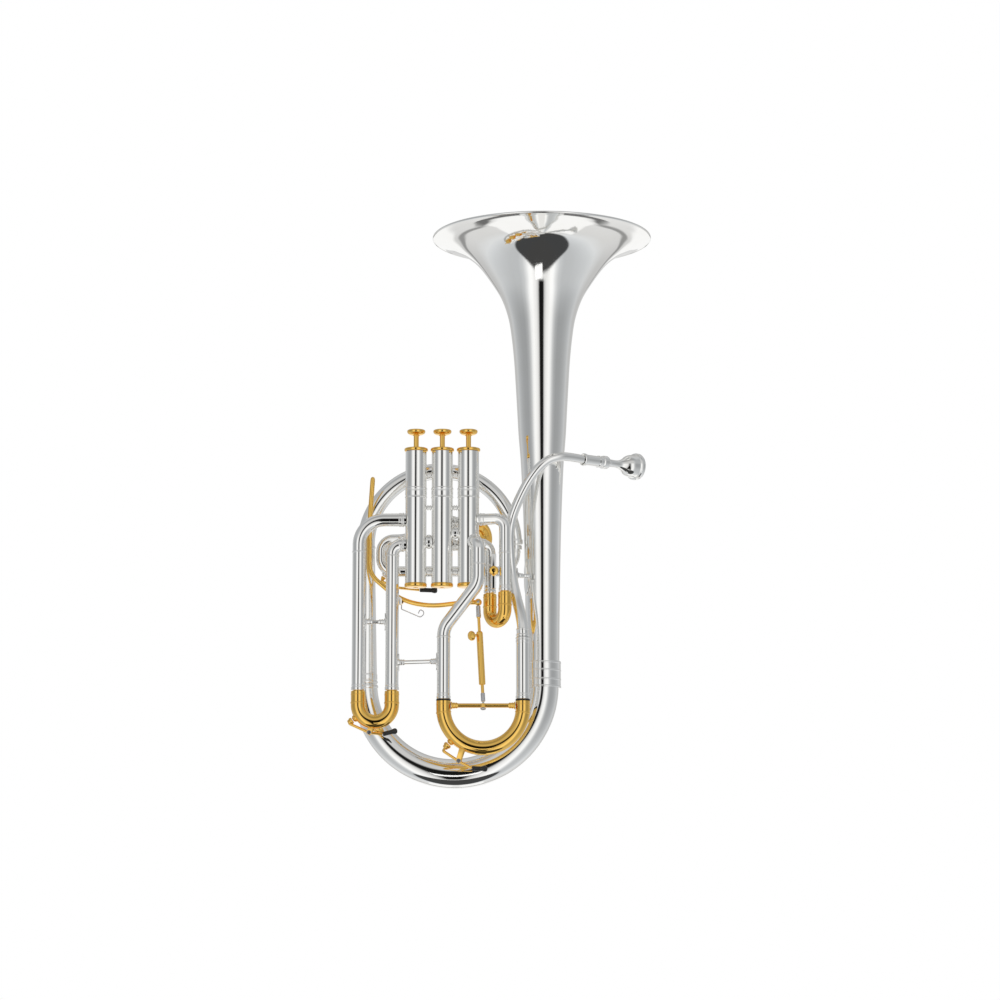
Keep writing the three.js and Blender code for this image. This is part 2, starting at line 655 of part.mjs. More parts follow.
function linkThumbScrew() {
  const path = route([31.6, -5.7, -110.6], [25, -10.8, -112]);
  const length = path.getLength();
  return rod(path, [[0, 1.2], [3.6, 1.2], [4, 3.6], [5.8, 4.5], [length - 1.2, 4.5], [length, 3.4]], 12);
}

function linkFootScrew() {
  const { x, y, z } = FOOT;
  const shank = pin([x, y, z + 3.2], [x, y, z - 3], 1.1, 10);
  const head = pin([x, y, z - 2.4], [x, y, z - 4.4], 2.6, 12);
  return joined(shank, head);
}

function lyreSocket() {
  const { x, y, z } = LYRE;
  const box = new THREE.BoxGeometry(4.4, 5, 32).translate(x, y, z);
  const slot = new THREE.BoxGeometry(2.2, 2.6, 60).translate(x, y, z - 14);
  const hole = pin([x, y - 3.8, z], [x, y - 0.2, z], 1.7, 10);
  const tube = pin([...FIRST_SLIDE.front, -90], [...FIRST_SLIDE.front, -20], NARROW.radius + 0.4, 24);
  const lug = new THREE.BoxGeometry(5, 2.4, 12).translate(x + 3.2, y - 0.8, z);
  return cut(joined(box, lug), slot, hole, tube);
}

function lyreScrew() {
  const { x, y, z } = LYRE;
  const path = route([x, y - 0.7, z], [x, y - 8.2, z]);
  return rod(path, [[0, 1.3], [2.6, 1.3], [3, 3.4], [4.6, 4.4], [6.4, 3.6]], 12);
}

// The second slide leaves the middle casing's back at an angle, away from its neighbours.
const SECOND_PORTS = ports[2].filter(([angle]) => angle === 45);

function secondSlide() {
  const { upper, lower, legStart, sleeveEnd, bow } = SECOND_SLIDE;
  const [high, low] = SECOND_PORTS;
  const across = (upper - lower) / 2;
  const path = route(
    portPoint(2, high, legStart), [...portPoint(2, high, bow + across), across],
    [...portPoint(2, low, bow + across), across], portPoint(2, low, legStart),
  );
  const length = path.getLength();
  const shoulder = sleeveEnd - legStart + GAP;
  return pipe(path, {
    radius: slideOutline(length, shoulder, NARROW.leg, NARROW.radius + 0.5),
    bore: slideOutline(length, shoulder + 1, NARROW.leg - 0.6, NARROW.radius - 0.3),
    rings: [[shoulder + 4, 1.8, 0.4], [length - shoulder - 4, 1.8, 0.4]],
  });
}

function secondSleeve(port) {
  const path = route(portPoint(2, port, 6), portPoint(2, port, SECOND_SLIDE.sleeveEnd));
  const rings = [[path.getLength() - 1.5, 2.4, 0.4]];
  return cut(pipe(path, { radius: NARROW.radius, rings }), casingRoom(2));
}

add("bell", "silver", bell());
add("bell_ferrule", "silver", bellFerrule());
add("bottom_bow", "silver", bottomBow());
add("branch_pipe", "silver", branchPipe());
add("exit_pipe", "silver", exitPipe());
add("leadpipe", "silver", leadpipe());
add("mouthpiece_receiver", "silver", mouthpieceReceiver());
add("mouthpiece", "silver", mouthpiece());
add("bell_brace", "silver", bellBrace());

for (const valve of [1, 2, 3]) {
  add(`valve_casing_${valve}`, "silver", valveCasing(valve));
  add(`top_cap_${valve}`, "gold", topCap(valveX[valve]));
  add(`bottom_cap_${valve}`, "gold", bottomCap(valveX[valve]));
  add(`piston_${valve}`, "steel", piston(valve));
  add(`finger_button_${valve}`, "gold", fingerButton(valveX[valve]));
  add(`valve_spring_${valve}`, "steel", valveSpring(valveX[valve]));
}
add("knuckle_1_2", "silver", knuckle(2, 1, ports[2][0]));
add("knuckle_2_3", "silver", knuckle(3, 2, ports[2][1]));

// Each bent sleeve: valve, port index, foot [x, y], bend radius, its slide and the height of its ring.
const bentSleeves = {
  first_sleeve_front: [1, 0, FIRST_SLIDE.front, 9, FIRST_SLIDE, NARROW.radius, -35],
  first_sleeve_back: [1, 1, FIRST_SLIDE.back, 8, FIRST_SLIDE, NARROW.radius, -45],
  third_sleeve_left: [3, 1, [THIRD_SLIDE.left, 0], 23, THIRD_SLIDE, SLEEVE.radius, -33.3],
  third_sleeve_right: [3, 2, [THIRD_SLIDE.right, 0], 9, THIRD_SLIDE, SLEEVE.radius, -37],
};
for (const [name, [valve, index, foot, bend, { sleeveEnd }, radius, ring]] of Object.entries(bentSleeves)) {
  add(name, "silver", sleeve(valve, ports[valve][index], foot, bend, sleeveEnd, radius, ring));
}
add("first_slide", "gold", firstSlide());
add("second_sleeve_upper", "silver", secondSleeve(SECOND_PORTS[0]));
add("second_sleeve_lower", "silver", secondSleeve(SECOND_PORTS[1]));
add("second_slide", "gold", secondSlide());
add("third_slide", "gold", thirdSlide());
add("third_slide_brace", "silver", thirdSlideBrace());
add("main_sleeve_left", "silver", mainSleeveLeft());
add("main_sleeve_right", "silver", mainSleeveRight());
add("main_slide", "gold", mainSlide());
add("main_slide_brace", "gold", mainSlideBrace());
add("sleeve_brace", "silver", sleeveBrace());

add("trigger_lever", "gold", triggerLever());
add("trigger_bracket", "silver", triggerBracket());
add("trigger_pivot_screw", "steel", pivotScrew());
add("trigger_spring", "steel", triggerSpring());
add("link_rod", "gold", linkRod());
add("link_thumb_screw", "gold", linkThumbScrew());
add("link_foot_screw", "steel", linkFootScrew());

add("third_water_key", "gold", keyLever(KEYS.third));
add("third_key_grip", "rubber", keyGrip(KEYS.third));
add("main_water_key", "gold", keyLever(KEYS.main));
add("main_key_grip", "rubber", keyGrip(KEYS.main));
add("back_water_key", "gold", keyLever(KEYS.back));
add("back_key_grip", "rubber", keyGrip(KEYS.back));

add("lyre_socket", "silver", lyreSocket());
add("lyre_screw", "gold", lyreScrew());

export default group;
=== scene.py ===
import math

import bmesh
import bpy
from mathutils import Matrix, Quaternion, Vector


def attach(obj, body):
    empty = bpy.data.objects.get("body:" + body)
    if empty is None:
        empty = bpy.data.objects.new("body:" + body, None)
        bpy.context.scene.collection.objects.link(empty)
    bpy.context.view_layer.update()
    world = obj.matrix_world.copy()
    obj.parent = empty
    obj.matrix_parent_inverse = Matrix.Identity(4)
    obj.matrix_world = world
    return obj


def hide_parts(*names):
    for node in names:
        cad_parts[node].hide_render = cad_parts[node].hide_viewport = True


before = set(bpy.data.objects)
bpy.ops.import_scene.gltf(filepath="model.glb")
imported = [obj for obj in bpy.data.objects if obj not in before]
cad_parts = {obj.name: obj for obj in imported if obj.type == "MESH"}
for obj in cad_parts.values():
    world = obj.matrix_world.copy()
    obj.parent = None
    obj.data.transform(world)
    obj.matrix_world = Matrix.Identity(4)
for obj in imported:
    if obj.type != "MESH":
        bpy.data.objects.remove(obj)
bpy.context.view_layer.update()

mm = 0.001
upright = Vector((0, 0, 1))
sideways = Vector((0, 1, 0))
crispAngle = math.radians(42)  # edges sharper than this are shaded hard
supportGap = 0.12  # millimetres from a corner to the extra points that hold its shading


def addObject(name, data):
    made = bpy.data.objects.new(name, data)
    bpy.context.scene.collection.objects.link(made)
    return made


# Paths and shapes are worked out in millimetres and become metres when a mesh is made.

def roundedPath(corners):
    # corners are (x, y, z) or (x, y, z, bend radius); the result is a list of straight runs and arcs
    points = [Vector(corner[:3]) for corner in corners]
    runs, start = [], points[0]

    def addLine(a, b):
        if (b - a).length > 1e-4:
            runs.append(("line", a, b, (b - a).length))

    for i in range(1, len(points) - 1):
        arriving = (points[i] - points[i - 1]).normalized()
        leaving = (points[i + 1] - points[i]).normalized()
        angle, radius = arriving.angle(leaving), corners[i][3]
        setBack = radius * math.tan(angle / 2)
        bendStart = points[i] - arriving * setBack
        axis = arriving.cross(leaving).normalized()
        spoke = arriving.cross(axis) * radius
        addLine(start, bendStart)
        runs.append(("arc", bendStart - spoke, spoke, axis, angle, radius * angle))
        start = points[i] + leaving * setBack
    addLine(start, points[-1])
    return runs


def pathLength(runs):
    return sum(run[-1] for run in runs)


def pointAt(runs, distance):
    for run in runs:
        if distance <= run[-1] or run is runs[-1]:
            share = min(max(distance / run[-1], 0), 1)
            if run[0] == "line":
                return run[1].lerp(run[2], share)
            return run[1] + Quaternion(run[3], run[4] * share) @ run[2]
        distance -= run[-1]


def bendStations(runs, turn):
    # distances along the path, one at least for each turn of so many degrees
    stations, gone = [0.0], 0.0
    for run in runs:
        steps = max(1, math.ceil(run[4] / math.radians(turn))) if run[0] == "arc" else 1
        stations += [gone + run[-1] * i / steps for i in range(1, steps + 1)]
        gone += run[-1]
    return stations


def mixRadius(outline, distance):
    for (a, ra), (b, rb) in zip(outline, outline[1:]):
        if distance <= b:
            return rb if b - a < 1e-9 else ra + (rb - ra) * (max(distance, a) - a) / (b - a)
    return outline[-1][1]


def beadProfile(at, width, height):
    # a half-round ring
    turns = [math.pi * i / 8 for i in range(9)]
    return [(at - width / 2 * math.cos(t), height * math.sin(t)) for t in turns]


def bandProfile(at, width, height):
    # a flat ring with eased edges
    ease = min(0.25, width / 5)
    low, high = at - width / 2, at + width / 2
    rise = [(low, 0), (low + 0.04, height * 0.55), (low + ease * 0.5, height * 0.9), (low + ease, height)]
    return rise + [(low + high - at2, h) for at2, h in reversed(rise)]


ringShapes = {"bead": beadProfile, "band": bandProfile}


def tubeCurve(name, corners, radius, rings=(), bevelResolution=7, turn=4):
    # radius is one number or (distance, radius) pairs; rings are (shape, distance, width, height)
    runs = roundedPath(corners)
    total = pathLength(runs)
    outline = radius if isinstance(radius, (list, tuple)) else [(0, radius), (total, radius)]
    marks = [(at, mixRadius(outline, at)) for at in bendStations(runs, turn)]
    marks += [pair for pair in outline if 0 <= pair[0] <= total]
    # stations close to each end, change of taper and ring keep the shading even there
    near = [0.1, total - 0.1]
    for (a, _), (b, _) in zip(outline, outline[1:]):
        if b - a > 1:
            near += [a + supportGap, b - supportGap]
    marks += [(at, mixRadius(outline, at)) for at in near]
    for shape, at, width, height in rings:
        at = total + at if at < 0 else at
        marks = [pair for pair in marks if abs(pair[0] - at) > width / 2 + 0.1]
        marks += [(at + side * (width / 2 + supportGap), mixRadius(outline, at)) for side in (-1, 1)]
        marks += [(d, mixRadius(outline, d) + h) for d, h in ringShapes[shape](at, width, height)]
    marks.sort(key=lambda pair: pair[0])
    kept = [marks[0]]
    for pair in marks[1:]:
        if pair[0] - kept[-1][0] > 0.02 or abs(pair[1] - kept[-1][1]) > 1e-6:
            kept.append((max(pair[0], kept[-1][0] + 0.01), pair[1]))
    kept = [pair for pair in kept if pair[0] <= total + 0.02]
    return curveThrough(name, [(pointAt(runs, min(at, total)), size) for at, size in kept], bevelResolution)


def curveThrough(name, stations, bevelResolution=7):
    # a round curve through (place, radius) stations
    curve = bpy.data.curves.new(name, "CURVE")
    curve.dimensions = "3D"
    curve.twist_mode = "MINIMUM"
    curve.bevel_depth = 1.0
    curve.bevel_resolution = bevelResolution
    curve.use_fill_caps = True
    spline = curve.splines.new("POLY")
    spline.points.add(len(stations) - 1)
    for point, (place, size) in zip(spline.points, stations):
        point.co = (*(place * mm), 1)
        point.radius = size * mm
    return asMesh(addObject(name, curve))


def asMesh(piece):
    # a curve or a modifier stack becomes a plain mesh
    evaluated = piece.evaluated_get(bpy.context.evaluated_depsgraph_get())
    mesh = bpy.data.meshes.new_from_object(evaluated)
    name = piece.name
    bpy.data.objects.remove(piece)
    return addObject(name, mesh)


def smoothed(points, steps=6):
    # extra points on a smooth line through the ones given
    result = []
    for i in range(len(points) - 1):
        p0, p1 = Vector(points[max(i - 1, 0)]), Vector(points[i])
        p2, p3 = Vector(points[i + 1]), Vector(points[min(i + 2, len(points) - 1)])
        for k in range(steps):
            t = k / steps
            spot = 0.5 * ((2 * p1) + (p2 - p0) * t + (2 * p0 - 5 * p1 + 4 * p2 - p3) * t * t
                          + (3 * p1 - p0 - 3 * p2 + p3) * t * t * t)
            result.append(tuple(spot))
    return result + [tuple(points[-1])]


def easeEdges(piece, width, segments, sharp=30):
    bevel = piece.modifiers.new("Bevel", "BEVEL")
    bevel.width = width * mm
    bevel.segments = segments
    bevel.limit_method = "ANGLE"
    bevel.angle_limit = math.radians(sharp)


def placeOn(at, axis=upright):
    return Matrix.Translation(Vector(at) * mm) @ Vector(axis).to_track_quat("Z", "Y").to_matrix().to_4x4()


def withSupports(profile, shortest=0.9, corner=14):
    # extra points beside each corner of so many degrees, on its longer sides
    def turning(i):
        if i in (0, len(profile) - 1):
            return 180
        (ar, az), (br, bz), (cr, cz) = profile[i - 1:i + 2]
        turned = math.degrees(math.atan2(cz - bz, cr - br) - math.atan2(bz - az, br - ar))
        return abs((turned + 180) % 360 - 180)

    result = [profile[0]]
    for i, ((r1, z1), (r2, z2)) in enumerate(zip(profile, profile[1:])):
        length = math.hypot(r2 - r1, z2 - z1)
        if length > shortest:
            t = supportGap / length
            if turning(i) > corner:
                result.append((r1 + (r2 - r1) * t, z1 + (z2 - z1) * t))
            if turning(i + 1) > corner:
                result.append((r2 + (r1 - r2) * t, z2 + (z1 - z2) * t))
        result.append((r2, z2))
    return result


def turnProfile(name, profile, place, steps=48, edge=0.0):
    # a Screw stack about Z, then its place; profile points are (radius, height) in millimetres
    profile = withSupports(profile)
    mesh = bpy.data.meshes.new(name)
    rows = [(max(r, 0.0) * mm, 0, z * mm) for r, z in profile]
    mesh.from_pydata(rows, [(i, i + 1) for i in range(len(rows) - 1)], [])
    piece = addObject(name, mesh)
    screw = piece.modifiers.new("Screw", "SCREW")
    screw.steps = screw.render_steps = steps
    screw.use_merge_vertices = True
    screw.merge_threshold = 1e-6
    screw.use_normal_calculate = False
    if edge:
        easeEdges(piece, edge, 2, 35)
    return finishShell(piece, place)


def shadeSmooth(mesh):
    for polygon in mesh.polygons:
        polygon.use_smooth = True
    mesh.set_sharp_from_angle(angle=crispAngle)


def cleanShell(mesh):
    # doubles merged, faces outwards, smooth except at hard edges
    shell = bmesh.new()
    shell.from_mesh(mesh)
    bmesh.ops.remove_doubles(shell, verts=shell.verts, dist=2e-6)
    bmesh.ops.recalc_face_normals(shell, faces=shell.faces)
    shell.to_mesh(mesh)
    shell.free()
    shadeSmooth(mesh)


def finishShell(piece, place=Matrix()):
    # the stack is applied first and the place after it
    made = asMesh(piece)
    cleanShell(made.data)
    made.data.transform(place)
    return made


def joinPieces(name, parts):
    # one mesh from several that are soldered together
    shell = bmesh.new()
    for part in parts:
        shell.from_mesh(part.data)
    mesh = bpy.data.meshes.new(name)
    shell.to_mesh(mesh)
    shell.free()
    for part in parts:
        bpy.data.objects.remove(part)
    shadeSmooth(mesh)
    return addObject(name, mesh)


def platePiece(name, outline, thickness, place, edge=0.25):
    # a flat outline made solid, with eased edges; outline points are (x, y) in millimetres
    mesh = bpy.data.meshes.new(name)
    mesh.from_pydata([(x * mm, y * mm, 0) for x, y in outline], [], [tuple(range(len(outline)))])
    piece = addObject(name, mesh)
    solid = piece.modifiers.new("Solidify", "SOLIDIFY")
    solid.thickness = thickness * mm
    solid.offset = 0
    easeEdges(piece, edge, 3)
    return finishShell(piece, place)


def saddlePlate(name, at, tubeRadius, facing, tall, wide, thickness):
    # a pointed flange wrapped round an upright tube, facing away from its axis at "at"
    rows, columns = 12, 8
    side = upright.cross(Vector(facing)).normalized()
    facing = side.cross(upright).normalized()
    spots, faces = [], []
    for i in range(rows + 1):
        u = -1 + 2 * i / rows
        half = wide / 2 * (1 - abs(u) ** 1.5) + 0.35
        for k in range(columns + 1):
            turn = half / tubeRadius * (-1 + 2 * k / columns)
            spot = Vector(at) + upright * (u * tall / 2)
            spot += (facing * math.cos(turn) + side * math.sin(turn)) * (tubeRadius + 0.05)
            spots.append(spot * mm)
            if i < rows and k < columns:
                a = i * (columns + 1) + k
                faces.append((a, a + 1, a + columns + 2, a + columns + 1))
    mesh = bpy.data.meshes.new(name)
    mesh.from_pydata(spots, [], faces)
    piece = addObject(name, mesh)
    solid = piece.modifiers.new("Solidify", "SOLIDIFY")
    solid.thickness = -thickness * mm
    solid.offset = -1
    easeEdges(piece, 0.2, 2)
    return finishShell(piece)


# Finishes.

finishes = {
    "silver": {"color": (0.965, 0.96, 0.94), "stain": (0.92, 0.905, 0.865), "rough": (0.03, 0.065),
               "slot": "silver_plate"},
    "gold": {"color": (1.0, 0.625, 0.155), "stain": (0.94, 0.53, 0.11), "rough": (0.03, 0.07), "slot": "gold_plate"},
    "steel": {"color": (0.60, 0.60, 0.61), "stain": (0.48, 0.48, 0.50), "rough": (0.16, 0.28), "slot": "steel"},
}
polish = {"cloudScale": 38, "hazeScale": 140, "markScale": 900, "markStrength": 0.012, "markDepth": 0.0004}
rubber = {"dark": 0.004, "dusty": 0.018, "rough": 0.42, "grainScale": 1400, "grainStrength": 0.25,
          "grainDepth": 0.0002}


def newMaterial(name):
    material = bpy.data.materials.new(name)
    material.use_nodes = True
    tree = material.node_tree
    return material, tree.nodes, tree.links, tree.nodes["Principled BSDF"]


def addNode(nodes, kind, values):
    node = nodes.new(kind)
    for socket, value in values.items():
        node.inputs[socket].default_value = value
    return node


def addBump(nodes, links, shader, noise, strength, depth):
    bump = addNode(nodes, "ShaderNodeBump", {"Strength": strength, "Distance": depth})
    links.new(noise.outputs["Fac"], bump.inputs["Height"])
    links.new(bump.outputs["Normal"], shader.inputs["Normal"])


def platedMetal(name, look):
    # polished plate: cloudy tone, fine polishing marks and a soft unevenness of gloss
    material, nodes, links, shader = newMaterial(name)
    shader.inputs["Metallic"].default_value = 1.0
    place = nodes.new("ShaderNodeTexCoord")

    def noise(scale, detail):
        node = addNode(nodes, "ShaderNodeTexNoise", {"Scale": scale, "Detail": detail})
        links.new(place.outputs["Object"], node.inputs["Vector"])
        return node

    tone = nodes.new("ShaderNodeMix")
    tone.data_type = "RGBA"
    tone.inputs["A"].default_value = (*look["color"], 1)
    tone.inputs["B"].default_value = (*look["stain"], 1)
    amount = addNode(nodes, "ShaderNodeMapRange", {"From Min": 0.45, "From Max": 0.85, "To Max": 0.5})
    links.new(noise(polish["cloudScale"], 4).outputs["Fac"], amount.inputs["Value"])
    links.new(amount.outputs["Result"], tone.inputs["Factor"])
    links.new(tone.outputs["Result"], shader.inputs["Base Color"])
    low, high = look["rough"]
    gloss = addNode(nodes, "ShaderNodeMapRange", {"From Min": 0.3, "From Max": 0.7, "To Min": low, "To Max": high})
    links.new(noise(polish["hazeScale"], 6).outputs["Fac"], gloss.inputs["Value"])
    links.new(gloss.outputs["Result"], shader.inputs["Roughness"])
    addBump(nodes, links, shader, noise(polish["markScale"], 2), polish["markStrength"], polish["markDepth"])
    return material


def mattRubber(name):
    # moulded rubber with a dusty grain
    material, nodes, links, shader = newMaterial(name)
    place = nodes.new("ShaderNodeTexCoord")
    grain = addNode(nodes, "ShaderNodeTexNoise", {"Scale": rubber["grainScale"], "Detail": 3})
    links.new(place.outputs["Object"], grain.inputs["Vector"])
    tone = nodes.new("ShaderNodeValToRGB")
    dark, dusty = rubber["dark"], rubber["dusty"]
    tone.color_ramp.elements[0].color = (dark, dark, dark, 1)
    tone.color_ramp.elements[1].color = (dusty, dusty, dusty + 0.001, 1)
    links.new(grain.outputs["Fac"], tone.inputs["Fac"])
    links.new(tone.outputs["Color"], shader.inputs["Base Color"])
    shader.inputs["Roughness"].default_value = rubber["rough"]
    addBump(nodes, links, shader, grain, rubber["grainStrength"], rubber["grainDepth"])
    return material


materials = {name: platedMetal(name, look) for name, look in finishes.items()}
materials["rubber"] = mattRubber("rubber")


def finishPiece(piece, finish, body, *nodes):
    # its material and body, and the plain solids that it stands for
    piece.data.materials.clear()
    piece.data.materials.append(materials[finish])
    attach(piece, body)
    if nodes:
        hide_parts(*nodes)
    return piece


def fixedSilver(piece, *nodes):
    # most of the horn is silver and stays where it is
    return finishPiece(piece, "silver", "root", *nodes)


# Bell, bottom bow and branch, all in one plane behind the valves.

bellPlane = 26
bell = {
    "axis": (92, bellPlane),
    "flare": [(15.2, -144), (15.7, -90), (17.1, -14.5), (19.5, 47.3), (21.9, 80), (23.0, 100), (24.6, 128.6),
              (26.0, 150.4), (28.2, 172.3), (31.2, 190.6), (37.1, 208.4), (45.8, 223.5), (58.9, 241.5), (71, 252.4),
              (84, 259.8), (95, 264.2), (100.9, 266.0)],
    "wall": 0.7,
    "bead": 1.15,
}
bow = {"z": -152.5, "left": -70.6, "inner": 14.6, "middle": 13.7, "outer": 11.4}
branch = {"loopZ": -22.8, "loopRadius": 68.6, "start": 11, "top": 8.2, "end": 6.7}


def makeBell():
    outer = smoothed(bell["flare"], 7)
    inner = []
    for i, (r, z) in enumerate(outer):
        before, after = outer[max(i - 1, 0)], outer[min(i + 1, len(outer) - 1)]
        run = Vector((after[0] - before[0], after[1] - before[1])).normalized()
        inner.append((r - run.y * bell["wall"], z + run.x * bell["wall"]))
    edge, size = outer[-1], bell["bead"]
    rolled = [(edge[0] + size * math.sin(t), edge[1] + size - 0.35 - size * math.cos(t))
              for t in [math.radians(20 * i) for i in range(1, 13)]]
    profile = outer + rolled + list(reversed(inner))
    profile.append(profile[0])
    fixedSilver(turnProfile("bell", profile, placeOn((*bell["axis"], 0)), steps=144), "bell")


def makeBellFerrule():
    x, y = bell["axis"]
    corners = [(x, y, -155.6), (x, y, -131)]
    rings = [("bead", at, 1.5, 0.4) for at in (1.2, 7.8, 16.1, 23.2)]
    fixedSilver(tubeCurve("bell_ferrule", corners, 16.6, rings, 12), "bell_ferrule")


def makeBottomBow():
    x, left, z = bell["axis"][0], bow["left"], bow["z"]
    radius = (x - left) / 2
    low = z - radius
    corners = [(x, bellPlane, -144.6), (x, bellPlane, low, radius), (left, bellPlane, low, radius),
               (left, bellPlane, z)]
    total = pathLength(roundedPath(corners))
    outline = [(0, bow["inner"]), (total * 0.1, bow["inner"]), (total * 0.5, bow["middle"]), (total, bow["outer"])]
    piece = tubeCurve("bottom_bow", corners, outline, [("band", -2.2, 3.2, 0.6)], 11, 2)
    fixedSilver(piece, "bottom_bow")


def makeBranch():
    left, z, size = bow["left"], branch["loopZ"], branch["loopRadius"]
    right, peak = left + 2 * size, z + size
    corners = [(left, bellPlane, bow["z"] + 0.3), (left, bellPlane, peak, size), (right, bellPlane, peak, size),
               (right, bellPlane, z)]
    total = pathLength(roundedPath(corners))
    straight = z - bow["z"]
    outline = [(0, branch["start"]), (straight, branch["top"]), (total, branch["end"])]
    rings = [("bead", 2.2, 3, 0.8), ("band", 7, 5, 0.45), ("bead", straight - 3, 2.4, 0.6), ("band", -2.5, 4, 0.7)]
    fixedSilver(tubeCurve("branch_pipe", corners, outline, rings, 9, 2.5), "branch_pipe")


# Valves: casing, caps, piston and button, three times.

valvePitch = 24
valveX = {1: valvePitch, 2: 0, 3: -valvePitch}
casing = {"radius": 9.7, "bore": 8.75, "top": 59.6, "bottom": -62.3, "band": 0.55}
stemRadius = 2.35


def overValve(valve):
    return placeOn((valveX[valve], 0, 0))


def makeCasing(valve):
    r, bore, low, high, band = (casing[key] for key in ("radius", "bore", "bottom", "top", "band"))
    profile = [(bore, low), (r, low), (r, 16.3), (r + band * 0.7, 16.6), (r + band, 17.1), (r + band * 0.7, 17.6),
               (r, 17.9), (r + 0.1, 18.6), (r + 0.26, 20), (r + 0.32, 21.2), (r + 0.26, 22.4), (r + 0.1, 23.8),
               (r + band * 0.8, 24.3), (r + band, 25), (r + band * 0.8, 25.7), (r, 26),
               (r, high), (bore, high), (bore, low)]
    fixedSilver(turnProfile(f"valve_casing_{valve}", profile, overValve(valve), 64, 0.1), f"valve_casing_{valve}")


def makeCaps(valve):
    seat, inside = casing["top"] + 0.3, casing["bore"] - 0.5
    top = [(2.9, seat - 3), (inside, seat - 3), (inside, seat), (10.1, seat), (10.6, seat + 0.35),
           (10.85, seat + 1.2),
           (10.8, seat + 2.1), (10.4, seat + 2.7), (9.6, seat + 2.95), (8.7, seat + 2.6), (8.1, seat + 2.35),
           (4.6, seat + 2.35), (4.2, seat + 3.05), (2.9, seat + 3.05), (2.9, seat - 3)]
    piece = turnProfile(f"top_cap_{valve}", top, overValve(valve), 64, 0.08)
    finishPiece(piece, "gold", "root", f"top_cap_{valve}")
    seat = casing["bottom"] - 0.3
    bottom = [(1.6, seat - 2.9), (2.4, seat - 3.5), (8.4, seat - 3.5), (9.5, seat - 3.3), (10.1, seat - 2.7),
              (10.22, seat - 2.2), (10.22, seat - 1.2), (10.0, seat - 1.0), (10.22, seat - 0.8), (10.2, seat - 0.2),
              (9.95, seat), (inside, seat), (inside, seat + 3), (1.6, seat + 3), (1.6, seat - 2.9)]
    piece = turnProfile(f"bottom_cap_{valve}", bottom, overValve(valve), 64, 0.06)
    finishPiece(piece, "gold", "root", f"bottom_cap_{valve}")


def makePiston(valve):
    body = f"valve_{valve}"
    shell = [(0, -29.5), (7.6, -29.5), (8.25, -28.9), (8.25, 39.4), (7.7, 40), (5, 40), (2.4, 41.6), (0, 41.6)]
    piece = turnProfile(f"piston_{valve}", shell, overValve(valve), 48, 0.1)
    finishPiece(piece, "steel", body, f"piston_{valve}")
    bowl = [(3.1, 75.1), (4.2, 75.3), (5.6, 75.6), (6.8, 76.1), (7.7, 76.8), (8.2, 77.6), (8.38, 78.4), (8.3, 79.1),
            (8.0, 79.6), (7.5, 79.88), (6.9, 79.85), (6.4, 79.6), (5.8, 79.25), (4.6, 79.05)]
    stem = [(0, 41.7), (stemRadius, 41.7), (stemRadius, 74.35), (2.9, 74.4), (3.1, 74.7)]
    turned = [*stem, *smoothed(bowl, 2), (2.2, 79.0), (0, 79.0)]
    piece = turnProfile(f"finger_button_{valve}", turned, overValve(valve), 48, 0.06)
    finishPiece(piece, "gold", body, f"finger_button_{valve}")


# Where tubes leave each casing: direction from its axis in degrees, height and tube radius.
ports = {
    "firstFront": (1, -13.5, -3.7, 5.2), "firstBack": (1, 22, -25.6, 5.2), "mainIn": (1, -60.6, -24.7, 6),
    "secondUpper": (2, 45, -4.1, 5.2), "secondLower": (2, 45, -25.5, 5.2),
    "thirdUpper": (3, 180, -3.7, 6), "thirdLower": (3, 180, -26.8, 6), "exit": (3, 125, -19, 5),
}


def portPoint(port, distance):
    valve, angle, z, _ = ports[port]
    turn = math.radians(angle)
    return (valveX[valve] + distance * math.cos(turn), distance * math.sin(turn), z)


wallReach = 9.0  # tubes run this far from a casing's axis, just under its skin
collar = [("bead", 2.6, 1.6, 0.75), ("band", 5.2, 2.6, 0.4)]
sleeveEnd = [("band", -1.6, 3, 0.45), ("bead", -4.6, 1.2, 0.35)]


def makeKnuckles():
    for name, left, right, z, r in (("knuckle_1_2", 2, 1, -15.6, 4.6), ("knuckle_2_3", 3, 2, -24, 5.6)):
        a, b = valveX[left] + wallReach, valveX[right] - wallReach
        total = b - a
        swell = [(0, r), (0.9, r + 0.1), (1.3, r + 0.7), (2.0, r + 1.0)]
        piece = tubeCurve(name, [(a, 0, z), (b, 0, z)], swell + [(total - at, size) for at, size in reversed(swell)])
        fixedSilver(piece, name)


# Slides: fixed silver sleeves and the gold slides that run in them.

slides = {
    "first": {"front": (57.3, -8), "back": (43.7, 8), "end": -70.5, "gap": 0.5, "legTop": -40, "bowTop": -86.7,
              "r": 6.1, "leg": 3.9, "ring": -83},
    "second": {"legStart": 16, "end": 36, "reach": 46, "bend": 10.7, "r": 5.7, "leg": 3.9},
    "third": {"front": (-75.7, 0), "back": (-45.2, 0), "end": -160.2, "gap": 0.5, "legTop": -60, "bowTop": -173.6,
              "r": 6.6, "leg": 4.6, "ring": -171.6},
    "main": {"front": (1.9, -12), "back": (73.5, -12), "end": -169.4, "gap": 1.25, "legTop": -122, "bowTop": -177.8,
             "r": 6.6, "leg": 4.6, "ring": -181.5},
}


def makeSleeve(name, port, foot, bend, end, radius, marks):
    corners = [portPoint(port, wallReach), (*foot, ports[port][2], bend), (*foot, end)]
    rings = collar + [("bead", -(z - end), 1.5, 0.45) for z in marks] + sleeveEnd
    fixedSilver(tubeCurve(name, corners, radius, rings, 8), name)


def slideOutline(total, shoulder, leg, size):
    end = [(0, leg), (shoulder, leg), (shoulder + 0.05, size - 0.5), (shoulder + 0.5, size)]
    return end + [(total - at, r) for at, r in reversed(end)]


